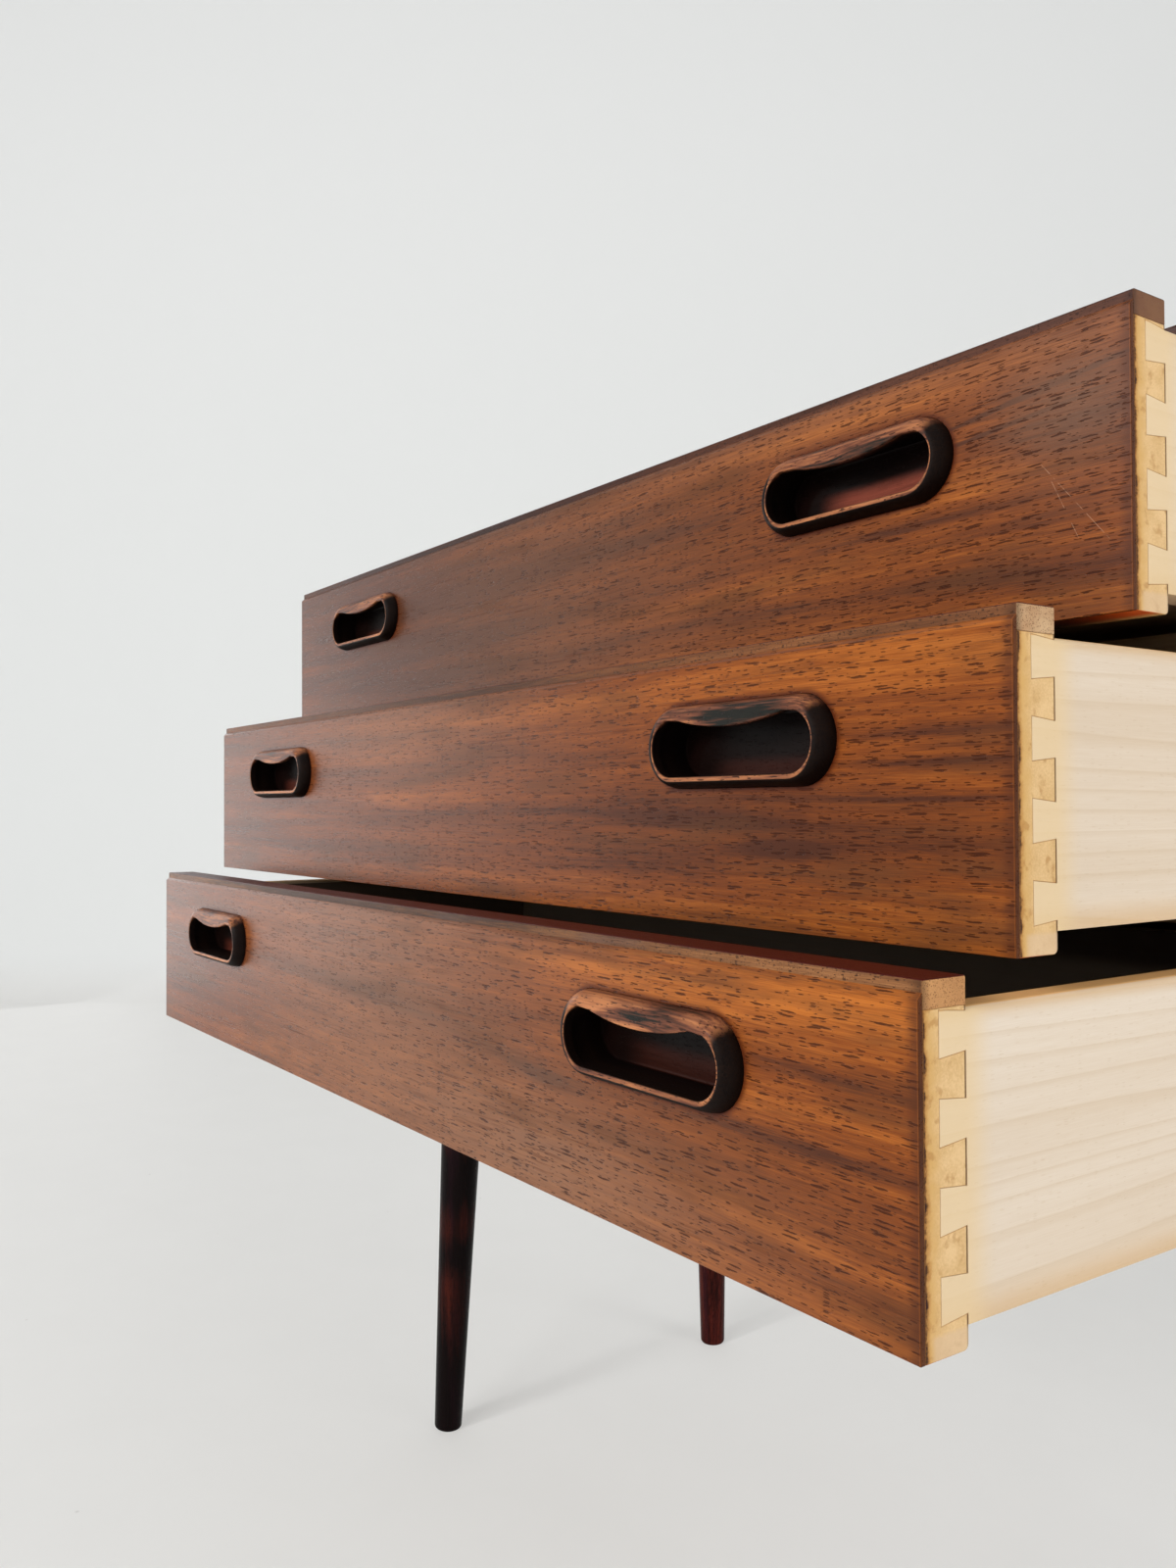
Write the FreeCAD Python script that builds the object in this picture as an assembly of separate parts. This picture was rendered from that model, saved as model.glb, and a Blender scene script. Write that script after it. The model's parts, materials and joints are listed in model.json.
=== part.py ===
import FreeCAD, Part
import math
import os

# A low chest of three inset drawers on four turned, splayed legs.
# Millimetres, +Z up, drawer fronts towards -Y, +X to the right as seen from the front.
# The origin is on the floor, under the middle of the whole chest with its drawers open
# as they are at rest: the top one a little, the middle one more, the bottom one most.

# Drawer fronts
FRONT_WIDTH = 740.0
FRONT_HEIGHT = 110.0
FRONT_THICKNESS = 21.0
FACING_THICKNESS = 2.0
FACING_BEVEL = 2.0
LIPPING_HEIGHT = 8.8
LIPPING_BARE_HEIGHT = 3.7
LIPPING_EASE = 0.8
CORE_HEEL_ROUND = 2.0

# How far each drawer stands open at rest
TOP_OPENING = 95.0
MIDDLE_OPENING = 160.0
BOTTOM_OPENING = 205.0

# Drawer boxes
DRAWER_LENGTH = 335.0
SIDE_THICKNESS = 12.5
SIDE_HEIGHT = 93.2
SIDE_RAISE = 7.3
SIDE_ROUND = 2.5
GROOVE_RAISE = 6.5
GROOVE_DEPTH = 5.0
BOTTOM_THICKNESS = 5.0
BOTTOM_PLAY = 0.2
BOTTOM_END_PLAY = 0.5
DRAWER_BACK_THICKNESS = 11.0
DRAWER_BACK_SETBACK = 8.0
DRAWER_BACK_DROP = 5.0
DRAWER_BACK_HOUSING = 4.0

# Lapped dovetails between a drawer's sides and its front
TAIL_COUNT = 4
TAIL_WIDTH = 11.5
TAIL_LENGTH = 12.0
TAIL_FLARE = 1.2
LOW_HALF_PIN = 3.5
HIGH_HALF_PIN = 1.2

# Finger handles let into the fronts
HANDLE_LENGTH = 105.0
HANDLE_HEIGHT = 34.0
HANDLE_FROM_END = 127.0
HANDLE_FROM_TOP = 38.6
HANDLE_DEPTH = 15.5
HANDLE_FIT = 0.1
RIM_PROUD = 7.0
RIM_LENGTH = 95.0
RIM_HEIGHT = 26.8
RIM_DROP = 0.7
SHOULDER_PROUD = 4.2
SHOULDER_LENGTH = 102.4
SHOULDER_HEIGHT = 31.8
SHOULDER_DROP = 0.2
MOUTH_LENGTH = 91.0
MOUTH_HEIGHT = 21.8
MOUTH_DIP = 4.4
LOWER_LAND = 2.9
POCKET_DEPTH = 13.0
POCKET_UNDERCUT = 2.3
LIP_THICKNESS = 4.0

# Case
CASE_DEPTH = 352.0
PANEL_THICKNESS = 18.0
EDGING_DEPTH = 6.0
EDGING_EASE = 1.0
FRONT_END_CLEARANCE = 1.5
FRONT_GAP = 2.8
CASE_GAP = 2.0
RABBET_WIDTH = 9.0
BACK_THICKNESS = 5.0
BACK_INSET = 1.0
BACK_PLAY = 0.3

# Rails and runners inside the case
STOP_GAP = 0.3
RUN_GAP = 0.3
KICK_GAP = 1.0
RAIL_DEPTH = 50.0
RAIL_THICKNESS = 10.5
RAIL_HOUSING = 5.0
RUNNER_WIDTH = 20.0

# Legs
LEG_HEIGHT = 352.0
LEG_TOP_RADIUS = 18.75
LEG_FOOT_RADIUS = 11.5
LEG_FOOT_ROUND = 3.5
LEG_SOLE_TRIM = 0.6
LEG_SPLAY_DEGREES = 2.0
LEG_TOP_FROM_SIDE = 53.0
LEG_TOP_FROM_FRONT = 40.0
PLATE_SIZE = 60.0
PLATE_THICKNESS = 3.0
BOLT_RADIUS = 4.0
BOLT_BELOW = 32.0
BOLT_ABOVE = 12.0
BOLT_FIT = 0.1
BOLT_END_PLAY = 1.0
BOLT_CLEARANCE = 0.8

# Countersunk screws
SCREW_RADIUS = 1.6
SCREW_HEAD_RADIUS = 3.4
SCREW_HEAD_HEIGHT = 2.2
SCREW_FIT = 0.1
SHORT_SCREW = 14.0
LONG_SCREW = 18.0
PLATE_SCREW_EDGE = 8.0
BACK_SCREW_CORNER = 45.0
BACK_SCREW_ACROSS_COUNT = 5
BACK_SCREW_UP_COUNT = 3
BOTTOM_SCREW_CORNER = 60.0
BOTTOM_SCREW_COUNT = 5

# Every cut runs this far past the face that it opens
OVERRUN = 1.0

# Places that follow from the sizes above
OPENINGS = {"top": TOP_OPENING, "middle": MIDDLE_OPENING, "bottom": BOTTOM_OPENING}
LEVELS = {name: level for level, name in enumerate(("bottom", "middle", "top"))}
PITCH = FRONT_HEIGHT + FRONT_GAP
INNER_WIDTH = FRONT_WIDTH + 2 * FRONT_END_CLEARANCE
INNER_HEIGHT = len(LEVELS) * FRONT_HEIGHT + (len(LEVELS) - 1) * FRONT_GAP + 2 * CASE_GAP
CASE_WIDTH = INNER_WIDTH + 2 * PANEL_THICKNESS
CASE_HEIGHT = INNER_HEIGHT + 2 * PANEL_THICKNESS
CASE_BOTTOM = LEG_HEIGHT
CASE_TOP = CASE_BOTTOM + CASE_HEIGHT
INNER_BOTTOM = CASE_BOTTOM + PANEL_THICKNESS
INNER_TOP = CASE_TOP - PANEL_THICKNESS
CASE_FRONT = (max(OPENINGS.values()) + RIM_PROUD - CASE_DEPTH) / 2
CASE_REAR = CASE_FRONT + CASE_DEPTH
BACK_FACE = CASE_REAR - BACK_INSET
STOP_FACE = CASE_FRONT + FRONT_THICKNESS + STOP_GAP
RUNNER_END = BACK_FACE - BACK_THICKNESS
CORE_HEIGHT = FRONT_HEIGHT - LIPPING_HEIGHT
SIDE_TOP = SIDE_RAISE + SIDE_HEIGHT
GROOVE_BOTTOM = SIDE_RAISE + GROOVE_RAISE
GROOVE_TOP = GROOVE_BOTTOM + BOTTOM_THICKNESS + BOTTOM_PLAY
DRAWER_INNER_WIDTH = FRONT_WIDTH - 2 * SIDE_THICKNESS
DRAWER_BACK_REAR = DRAWER_LENGTH - DRAWER_BACK_SETBACK
DRAWER_BACK_FRONT = DRAWER_BACK_REAR - DRAWER_BACK_THICKNESS
HANDLE_X = FRONT_WIDTH / 2 - HANDLE_FROM_END
HANDLE_Z = FRONT_HEIGHT - HANDLE_FROM_TOP
RIM_Z = HANDLE_Z - RIM_DROP
MOUTH_LOW = RIM_Z - RIM_HEIGHT / 2 + LOWER_LAND


def block(x0, x1, y0, y1, z0, z1):
    """A box between two corners."""
    return Part.makeBox(x1 - x0, y1 - y0, z1 - z0, FreeCAD.Vector(x0, y0, z0))


def prism(points, direction):
    """A flat outline of straight sides, pushed along a direction."""
    corners = [FreeCAD.Vector(*p) for p in points]
    return Part.Face(Part.makePolygon(corners + corners[:1])).extrude(FreeCAD.Vector(*direction))


def cut_all(shape, tools):
    """The shape less each tool, as one solid without seams."""
    for tool in tools:
        shape = shape.cut(tool)
    return shape.removeSplitter().Solids[0]


def rounded(shape, radius, chosen):
    """The shape with the edges that pass the test rounded."""
    return shape.makeFillet(radius, [edge for edge in shape.Edges if chosen(edge.BoundBox)])


def mirrored(shape):
    """The same shape on the other side of the chest's middle."""
    return shape.mirror(FreeCAD.Vector(0, 0, 0), FreeCAD.Vector(1, 0, 0))


def moved(shape, x=0.0, y=0.0, z=0.0):
    """A copy of the shape in another place."""
    copy = shape.copy()
    copy.translate(FreeCAD.Vector(x, y, z))
    return copy


def screw(length, fit=0.0):
    """A countersunk screw pointing up, its head's flat face at height zero, or its hole."""
    head = Part.makeCone(SCREW_HEAD_RADIUS + fit, SCREW_RADIUS + fit, SCREW_HEAD_HEIGHT)
    shank = Part.makeCylinder(SCREW_RADIUS + fit, length + fit)
    return head.fuse(shank).removeSplitter().Solids[0]


def evenly(low, high, count):
    """Evenly spaced places from low to high."""
    return [low + (high - low) * step / (count - 1) for step in range(count)]


# Drawers, each in its own frame: the face's lower edge at y 0 and z 0, the middle at x 0


def tail_middles():
    """Heights of the dovetails' middles, from the lowest up."""
    low = SIDE_RAISE + LOW_HALF_PIN + TAIL_WIDTH / 2
    high = SIDE_TOP - HIGH_HALF_PIN - TAIL_WIDTH / 2
    return evenly(low, high, TAIL_COUNT)


def tails(x0):
    """The dovetails of one side board, which widen towards the front."""
    shapes = []
    tip = FRONT_THICKNESS - TAIL_LENGTH
    for middle in tail_middles():
        narrow = TAIL_WIDTH / 2
        wide = narrow + TAIL_FLARE
        outline = [
            (x0, FRONT_THICKNESS, middle - narrow),
            (x0, tip, middle - wide),
            (x0, tip, middle + wide),
            (x0, FRONT_THICKNESS, middle + narrow),
        ]
        shapes.append(prism(outline, (SIDE_THICKNESS, 0, 0)))
    return shapes


def bottom_groove():
    """The space of the groove that holds the drawer's bottom on three sides."""
    half = DRAWER_INNER_WIDTH / 2 + GROOVE_DEPTH
    front = FRONT_THICKNESS - GROOVE_DEPTH
    return block(-half, half, front, DRAWER_LENGTH + OVERRUN, GROOVE_BOTTOM, GROOVE_TOP)


def back_space():
    """The space of the drawer's back board, whose ends are housed in the sides."""
    half = DRAWER_INNER_WIDTH / 2 + DRAWER_BACK_HOUSING
    top = SIDE_TOP - DRAWER_BACK_DROP
    return block(-half, half, DRAWER_BACK_FRONT, DRAWER_BACK_REAR, GROOVE_TOP, top)


def drawer_side():
    """The right side board with its dovetails, bottom groove and housing."""
    x0 = FRONT_WIDTH / 2 - SIDE_THICKNESS
    x1 = FRONT_WIDTH / 2
    board = block(x0, x1, FRONT_THICKNESS, DRAWER_LENGTH, SIDE_RAISE, SIDE_TOP)
    board = rounded(board, SIDE_ROUND, lambda b: b.ZMin > SIDE_TOP - SIDE_ROUND and b.XLength < SIDE_ROUND)
    for tail in tails(x0):
        board = board.fuse(tail)
    return cut_all(board, [bottom_groove(), back_space()])


def racetrack(length, height, x, y, z):
    """A closed outline of two straight runs and two half circles, upright at depth y."""
    radius = height / 2
    run = length / 2 - radius
    low, high = z - radius, z + radius
    left, right = x - run, x + run
    corner = {
        "low left": FreeCAD.Vector(left, y, low),
        "low right": FreeCAD.Vector(right, y, low),
        "high right": FreeCAD.Vector(right, y, high),
        "high left": FreeCAD.Vector(left, y, high),
    }
    right_end = FreeCAD.Vector(right + radius, y, z)
    left_end = FreeCAD.Vector(left - radius, y, z)
    edges = [
        Part.LineSegment(corner["low left"], corner["low right"]),
        Part.Arc(corner["low right"], right_end, corner["high right"]),
        Part.LineSegment(corner["high right"], corner["high left"]),
        Part.Arc(corner["high left"], left_end, corner["low left"]),
    ]
    return Part.Wire([edge.toShape() for edge in edges])


def mouth(x, y):
    """The handle's opening: a straight lower edge, round ends, and a lip that dips in the middle."""
    radius = MOUTH_HEIGHT / 2
    run = MOUTH_LENGTH / 2 - radius
    middle = MOUTH_LOW + radius
    dip = radius - MOUTH_DIP
    # The dip's arc touches the circles of both ends
    dip_radius = (run**2 + dip**2 - radius**2) / (2 * MOUTH_DIP)
    share = radius / (dip_radius + radius)
    touch_x = run * (1 - share)
    touch_z = middle + (dip + dip_radius) * share
    low_left = FreeCAD.Vector(x - run, y, MOUTH_LOW)
    low_right = FreeCAD.Vector(x + run, y, MOUTH_LOW)
    high_right = FreeCAD.Vector(x + touch_x, y, touch_z)
    high_left = FreeCAD.Vector(x - touch_x, y, touch_z)
    edges = [
        Part.LineSegment(low_left, low_right),
        Part.Arc(low_right, FreeCAD.Vector(x + run + radius, y, middle), high_right),
        Part.Arc(high_right, FreeCAD.Vector(x, y, middle + dip), high_left),
        Part.Arc(high_left, FreeCAD.Vector(x - run - radius, y, middle), low_left),
    ]
    return Part.Wire([edge.toShape() for edge in edges])


def pushed_back(wire, depth):
    """A solid from a closed outline, pushed towards the drawer's inside."""
    return Part.Face(wire).extrude(FreeCAD.Vector(0, depth, 0))


def handle_recess(x):
    """The hole in the front that takes one handle."""
    length = HANDLE_LENGTH + 2 * HANDLE_FIT
    height = HANDLE_HEIGHT + 2 * HANDLE_FIT
    return pushed_back(racetrack(length, height, x, -OVERRUN, HANDLE_Z), HANDLE_DEPTH + OVERRUN)


def handle(x):
    """A finger handle: a plug with a rim that stands out and tapers, and a pocket behind its lip."""
    plug = pushed_back(racetrack(HANDLE_LENGTH, HANDLE_HEIGHT, x, 0, HANDLE_Z), HANDLE_DEPTH)
    shoulder_z = HANDLE_Z - SHOULDER_DROP
    sections = [
        racetrack(HANDLE_LENGTH, HANDLE_HEIGHT, x, 0, HANDLE_Z),
        racetrack(SHOULDER_LENGTH, SHOULDER_HEIGHT, x, -SHOULDER_PROUD, shoulder_z),
        racetrack(RIM_LENGTH, RIM_HEIGHT, x, -RIM_PROUD, RIM_Z),
    ]
    rim = Part.makeLoft(sections, True, False)
    front = LIP_THICKNESS - RIM_PROUD
    cavity_height = MOUTH_HEIGHT + POCKET_UNDERCUT
    cavity_length = MOUTH_LENGTH + 2 * POCKET_UNDERCUT
    cavity_z = MOUTH_LOW + cavity_height / 2
    cavity = pushed_back(racetrack(cavity_length, cavity_height, x, front, cavity_z), POCKET_DEPTH - front)
    opening = pushed_back(mouth(x, -RIM_PROUD - OVERRUN), RIM_PROUD + OVERRUN + POCKET_DEPTH)
    return cut_all(plug.fuse(rim), [opening, cavity])


def front_core():
    """The pale board behind the facing, with sockets for the dovetails and the two handles."""
    half = FRONT_WIDTH / 2
    board = block(-half, half, FACING_THICKNESS, FRONT_THICKNESS, 0, CORE_HEIGHT)
    heel = FRONT_THICKNESS - CORE_HEEL_ROUND
    board = rounded(board, CORE_HEEL_ROUND, lambda b: b.ZMax < CORE_HEEL_ROUND and b.YMin > heel)
    inner = DRAWER_INNER_WIDTH / 2
    groove = bottom_groove().common(block(-inner, inner, 0, DRAWER_LENGTH, 0, FRONT_HEIGHT))
    sockets = [tail for x0 in (-half, inner) for tail in tails(x0)]
    return cut_all(board, sockets + [groove, handle_recess(-HANDLE_X), handle_recess(HANDLE_X)])


def front_facing():
    """The dark board on the front's face, its top edge bevelled back to the lipping."""
    high = FRONT_HEIGHT - LIPPING_BARE_HEIGHT
    outline = [
        (-FRONT_WIDTH / 2, 0, 0),
        (-FRONT_WIDTH / 2, 0, high - FACING_BEVEL),
        (-FRONT_WIDTH / 2, FACING_THICKNESS, high),
        (-FRONT_WIDTH / 2, FACING_THICKNESS, 0),
    ]
    return cut_all(prism(outline, (FRONT_WIDTH, 0, 0)), [handle_recess(-HANDLE_X), handle_recess(HANDLE_X)])


def lipping():
    """The solid strip along the front's top edge."""
    half = FRONT_WIDTH / 2
    strip = block(-half, half, FACING_THICKNESS, FRONT_THICKNESS, CORE_HEIGHT, FRONT_HEIGHT)
    near_top = CORE_HEIGHT + LIPPING_EASE
    return rounded(strip, LIPPING_EASE, lambda b: b.ZMin > near_top and b.XLength > FRONT_HEIGHT)


def drawer_bottom_screws(fit=0.0):
    """The screws that hold the bottom up against the back board."""
    end = DRAWER_INNER_WIDTH / 2 - BOTTOM_SCREW_CORNER
    y = (DRAWER_BACK_FRONT + DRAWER_BACK_REAR) / 2
    places = evenly(-end, end, BOTTOM_SCREW_COUNT)
    return [moved(screw(SHORT_SCREW, fit), x, y, GROOVE_BOTTOM) for x in places]


def drawer_bottom():
    """The thin board that slides into the grooves under the back board."""
    half = DRAWER_INNER_WIDTH / 2 + GROOVE_DEPTH - BOTTOM_END_PLAY
    front = FRONT_THICKNESS - GROOVE_DEPTH + BOTTOM_END_PLAY
    top = GROOVE_BOTTOM + BOTTOM_THICKNESS
    board = block(-half, half, front, DRAWER_BACK_REAR, GROOVE_BOTTOM, top)
    return cut_all(board, drawer_bottom_screws(SCREW_FIT))


def drawer_back():
    """The board across the drawer's rear, housed in both sides."""
    return cut_all(back_space(), drawer_bottom_screws(SCREW_FIT))


def drawer_pieces():
    """Every piece of one drawer, by name."""
    side = drawer_side()
    return {
        "front_core": front_core(),
        "front_facing": front_facing(),
        "front_lipping": lipping(),
        "handle_left": handle(-HANDLE_X),
        "handle_right": handle(HANDLE_X),
        "side_left": mirrored(side),
        "side_right": side,
        "back": drawer_back(),
        "bottom": drawer_bottom(),
        "bottom_screws": Part.makeCompound(drawer_bottom_screws()),
    }


# Case


def level_z(level):
    """Height of the lower edge of the front on one level."""
    return INNER_BOTTOM + CASE_GAP + level * PITCH


def mitred_frame(y0, y1):
    """Four boards around the case, mitred at the corners."""
    outer = CASE_WIDTH / 2
    inner = INNER_WIDTH / 2
    low, high = CASE_BOTTOM, CASE_TOP
    inner_low, inner_high = INNER_BOTTOM, INNER_TOP
    push = (0, y1 - y0, 0)
    right = [(outer, y0, low), (outer, y0, high), (inner, y0, inner_high), (inner, y0, inner_low)]
    top = [(-outer, y0, high), (outer, y0, high), (inner, y0, inner_high), (-inner, y0, inner_high)]
    bottom = [(-outer, y0, low), (outer, y0, low), (inner, y0, inner_low), (-inner, y0, inner_low)]
    side = prism(right, push)
    return {
        "top": prism(top, push),
        "bottom": prism(bottom, push),
        "side_left": mirrored(side),
        "side_right": side,
    }


def back_rabbet(play=0.0):
    """The space of the back panel, or the panel itself with play around its edges."""
    half = INNER_WIDTH / 2 + RABBET_WIDTH - play
    low = INNER_BOTTOM - RABBET_WIDTH + play
    high = INNER_TOP + RABBET_WIDTH - play
    rear = BACK_FACE if play else CASE_REAR + OVERRUN
    return block(-half, half, RUNNER_END, rear, low, high)


def back_screws(fit=0.0):
    """The screws around the edge of the back panel."""
    pointing_forward = screw(LONG_SCREW, fit)
    pointing_forward.rotate(FreeCAD.Vector(0, 0, 0), FreeCAD.Vector(1, 0, 0), 90)
    side = INNER_WIDTH / 2 + RABBET_WIDTH / 2
    low = INNER_BOTTOM - RABBET_WIDTH / 2
    high = INNER_TOP + RABBET_WIDTH / 2
    end = INNER_WIDTH / 2 - BACK_SCREW_CORNER
    places = [(x, z) for z in (low, high) for x in evenly(-end, end, BACK_SCREW_ACROSS_COUNT)]
    heights = evenly(INNER_BOTTOM + BACK_SCREW_CORNER, INNER_TOP - BACK_SCREW_CORNER, BACK_SCREW_UP_COUNT)
    places += [(x, z) for x in (-side, side) for z in heights]
    return [moved(pointing_forward, x, BACK_FACE, z) for x, z in places]


def rail(level, housing):
    """The rail below the drawer on one level, its ends let into the sides."""
    half = INNER_WIDTH / 2 + housing
    top = level_z(level) + SIDE_RAISE - RUN_GAP
    return block(-half, half, STOP_FACE, STOP_FACE + RAIL_DEPTH, top - RAIL_THICKNESS, top)


def runner(level):
    """The right runner of one level, which also holds down the drawer below it."""
    half = INNER_WIDTH / 2
    top = level_z(level) + SIDE_RAISE - RUN_GAP
    low = level_z(level) - PITCH + SIDE_TOP + KICK_GAP if level else INNER_BOTTOM
    front = STOP_FACE + RAIL_DEPTH if level else STOP_FACE
    return block(half - RUNNER_WIDTH, half, front, RUNNER_END, low, top)


def kicker():
    """The right strip under the top that holds the top drawer down."""
    half = INNER_WIDTH / 2
    low = level_z(LEVELS["top"]) + SIDE_TOP + KICK_GAP
    return block(half - RUNNER_WIDTH, half, STOP_FACE, RUNNER_END, low, INNER_TOP)


# Legs


def leg_places():
    """The middle of each leg's top, by name, with the directions that it splays in."""
    x = CASE_WIDTH / 2 - LEG_TOP_FROM_SIDE
    y = CASE_DEPTH / 2 - LEG_TOP_FROM_FRONT
    middle = (CASE_FRONT + CASE_REAR) / 2
    return {
        "front_left": (-x, middle - y, -1, -1),
        "front_right": (x, middle - y, 1, -1),
        "rear_left": (-x, middle + y, -1, 1),
        "rear_right": (x, middle + y, 1, 1),
    }


def leaning(shape, place):
    """A shape made on an upright axis, leaned about the middle of a leg's top."""
    x, y, out_x, out_y = place
    slope = math.tan(math.radians(LEG_SPLAY_DEGREES))
    axis = FreeCAD.Vector(-out_x * slope, -out_y * slope, 1)
    rotation = FreeCAD.Rotation(FreeCAD.Vector(0, 0, 1), axis)
    leaned = shape.copy()
    leaned.Placement = FreeCAD.Placement(FreeCAD.Vector(x, y, CASE_BOTTOM - PLATE_THICKNESS), rotation)
    return leaned


def leg_axis_length():
    """Length of a leg's axis from the floor to the plate."""
    slope = math.tan(math.radians(LEG_SPLAY_DEGREES))
    return (CASE_BOTTOM - PLATE_THICKNESS) * math.sqrt(1 + 2 * slope**2)


def leg(place):
    """A round tapered leg with an eased foot, cut level at the floor and under its plate."""
    length = leg_axis_length() + LEG_SOLE_TRIM
    growth = (LEG_TOP_RADIUS - LEG_FOOT_RADIUS) / length
    past = LEG_TOP_RADIUS
    top_radius = LEG_TOP_RADIUS + growth * past
    foot = FreeCAD.Vector(0, 0, -length)
    cone = Part.makeCone(LEG_FOOT_RADIUS, top_radius, length + past, foot)
    cone = rounded(cone, LEG_FOOT_ROUND, lambda b: b.ZMax < LEG_SOLE_TRIM - length)
    hole = Part.makeCylinder(BOLT_RADIUS + BOLT_FIT, BOLT_BELOW + past, FreeCAD.Vector(0, 0, -BOLT_BELOW))
    leaned = leaning(cone.cut(hole), place)
    reach = leg_axis_length()
    x, y = place[:2]
    top = CASE_BOTTOM - PLATE_THICKNESS
    level_space = block(x - reach, x + reach, y - reach, y + reach, 0, top)
    return leaned.common(level_space).Solids[0]


def leg_bolt(place, fit=0.0):
    """The bolt that joins a leg to the case through its plate, or the hole above the leg for it."""
    low = BOLT_END_PLAY - BOLT_BELOW
    length = BOLT_ABOVE + fit - low
    bolt = Part.makeCylinder(BOLT_RADIUS + fit, length, FreeCAD.Vector(0, 0, low))
    return leaning(bolt, place)


def plate_screws(place, fit=0.0):
    """The four screws of one leg plate."""
    x, y = place[:2]
    reach = PLATE_SIZE / 2 - PLATE_SCREW_EDGE
    low = CASE_BOTTOM - PLATE_THICKNESS
    corners = [(x + a * reach, y + b * reach) for a in (-1, 1) for b in (-1, 1)]
    return [moved(screw(SHORT_SCREW, fit), corner_x, corner_y, low) for corner_x, corner_y in corners]


def leg_plate(place):
    """The square plate that carries one leg under the case."""
    x, y = place[:2]
    half = PLATE_SIZE / 2
    plate = block(x - half, x + half, y - half, y + half, CASE_BOTTOM - PLATE_THICKNESS, CASE_BOTTOM)
    return cut_all(plate, plate_screws(place, SCREW_FIT) + [leg_bolt(place, BOLT_CLEARANCE)])


def case_panels():
    """The four panels of the case, with the back's rabbet, the rails' housings and the screw holes."""
    panels = mitred_frame(CASE_FRONT + EDGING_DEPTH, CASE_REAR)
    cuts = [back_rabbet()] + back_screws(SCREW_FIT)
    rails = [rail(level, RAIL_HOUSING) for level in (LEVELS["middle"], LEVELS["top"])]
    below = []
    for place in leg_places().values():
        below += plate_screws(place, SCREW_FIT) + [leg_bolt(place, BOLT_CLEARANCE)]
    extra = {"top": [], "bottom": below, "side_left": rails, "side_right": rails}
    return {name: cut_all(panel, cuts + extra[name]) for name, panel in panels.items()}


def case_edging():
    """The solid strips on the panels' front edges, with their front corners eased."""
    strips = mitred_frame(CASE_FRONT, CASE_FRONT + EDGING_DEPTH)
    front = CASE_FRONT + EDGING_EASE
    return {
        name: rounded(
            strip,
            EDGING_EASE,
            lambda b: b.YMax < front and max(b.XLength, b.ZLength) > INNER_HEIGHT - EDGING_EASE,
        )
        for name, strip in strips.items()
    }


def case_pieces():
    """Every piece of the case and its legs, by name."""
    pieces = {"case_" + name: panel for name, panel in case_panels().items()}
    pieces.update({"edging_" + name: strip for name, strip in case_edging().items()})
    pieces["case_back"] = cut_all(back_rabbet(BACK_PLAY), back_screws(SCREW_FIT))
    pieces["back_screws"] = Part.makeCompound(back_screws())
    for name, level in (("lower", LEVELS["middle"]), ("upper", LEVELS["top"])):
        pieces[name + "_rail"] = rail(level, RAIL_HOUSING)
        pieces[name + "_runner_right"] = runner(level)
        pieces[name + "_runner_left"] = mirrored(runner(level))
    pieces["bottom_runner_right"] = runner(LEVELS["bottom"])
    pieces["bottom_runner_left"] = mirrored(runner(LEVELS["bottom"]))
    pieces["top_kicker_right"] = kicker()
    pieces["top_kicker_left"] = mirrored(kicker())
    places = leg_places()
    for name, place in places.items():
        pieces["leg_" + name] = leg(place)
        pieces["leg_plate_" + name] = leg_plate(place)
    pieces["leg_bolts"] = Part.makeCompound([leg_bolt(place) for place in places.values()])
    screws = [one for place in places.values() for one in plate_screws(place)]
    pieces["plate_screws"] = Part.makeCompound(screws)
    return pieces


def all_pieces():
    """Every piece of the chest at rest, by name."""
    pieces = case_pieces()
    drawer = drawer_pieces()
    for name, level in LEVELS.items():
        y = CASE_FRONT - OPENINGS[name]
        for piece, shape in drawer.items():
            pieces[name + "_" + piece] = moved(shape, 0, y, level_z(level))
    return pieces


os.makedirs("parts", exist_ok=True)
PIECES = all_pieces()
for node, shape in PIECES.items():
    shape.exportStep("parts/" + node + ".step")
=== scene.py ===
import json
import math
import random

import bmesh
import bpy
from mathutils import Matrix, Vector


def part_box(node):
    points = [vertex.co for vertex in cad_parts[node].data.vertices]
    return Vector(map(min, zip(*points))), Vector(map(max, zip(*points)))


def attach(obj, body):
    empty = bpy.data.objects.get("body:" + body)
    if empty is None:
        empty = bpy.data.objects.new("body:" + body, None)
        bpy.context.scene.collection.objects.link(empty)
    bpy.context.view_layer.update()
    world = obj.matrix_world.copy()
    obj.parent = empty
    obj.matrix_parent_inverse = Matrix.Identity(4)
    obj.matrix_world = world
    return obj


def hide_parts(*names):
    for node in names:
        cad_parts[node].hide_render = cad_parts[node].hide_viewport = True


# Metres in the part's frame: drawer fronts towards -Y, +X to the right, floor at z 0

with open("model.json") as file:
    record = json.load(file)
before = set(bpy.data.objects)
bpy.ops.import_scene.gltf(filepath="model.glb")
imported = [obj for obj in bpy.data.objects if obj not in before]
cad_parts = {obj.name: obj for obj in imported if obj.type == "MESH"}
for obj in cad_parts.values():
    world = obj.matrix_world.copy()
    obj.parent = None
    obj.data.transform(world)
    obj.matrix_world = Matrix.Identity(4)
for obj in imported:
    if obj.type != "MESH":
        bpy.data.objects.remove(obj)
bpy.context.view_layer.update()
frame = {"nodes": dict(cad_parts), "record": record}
SCENE = bpy.context.scene
MM = 0.001

# Meshes: points that are one, the least angle of a corner, and the steps along an outline's straight runs
# and round its ends
SAME_POINT = MM / 1000
CORNER = math.radians(35)
OUTLINE_STEPS = (26, 22)
FOOT_ROUNDING = 3.2 * MM
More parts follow.
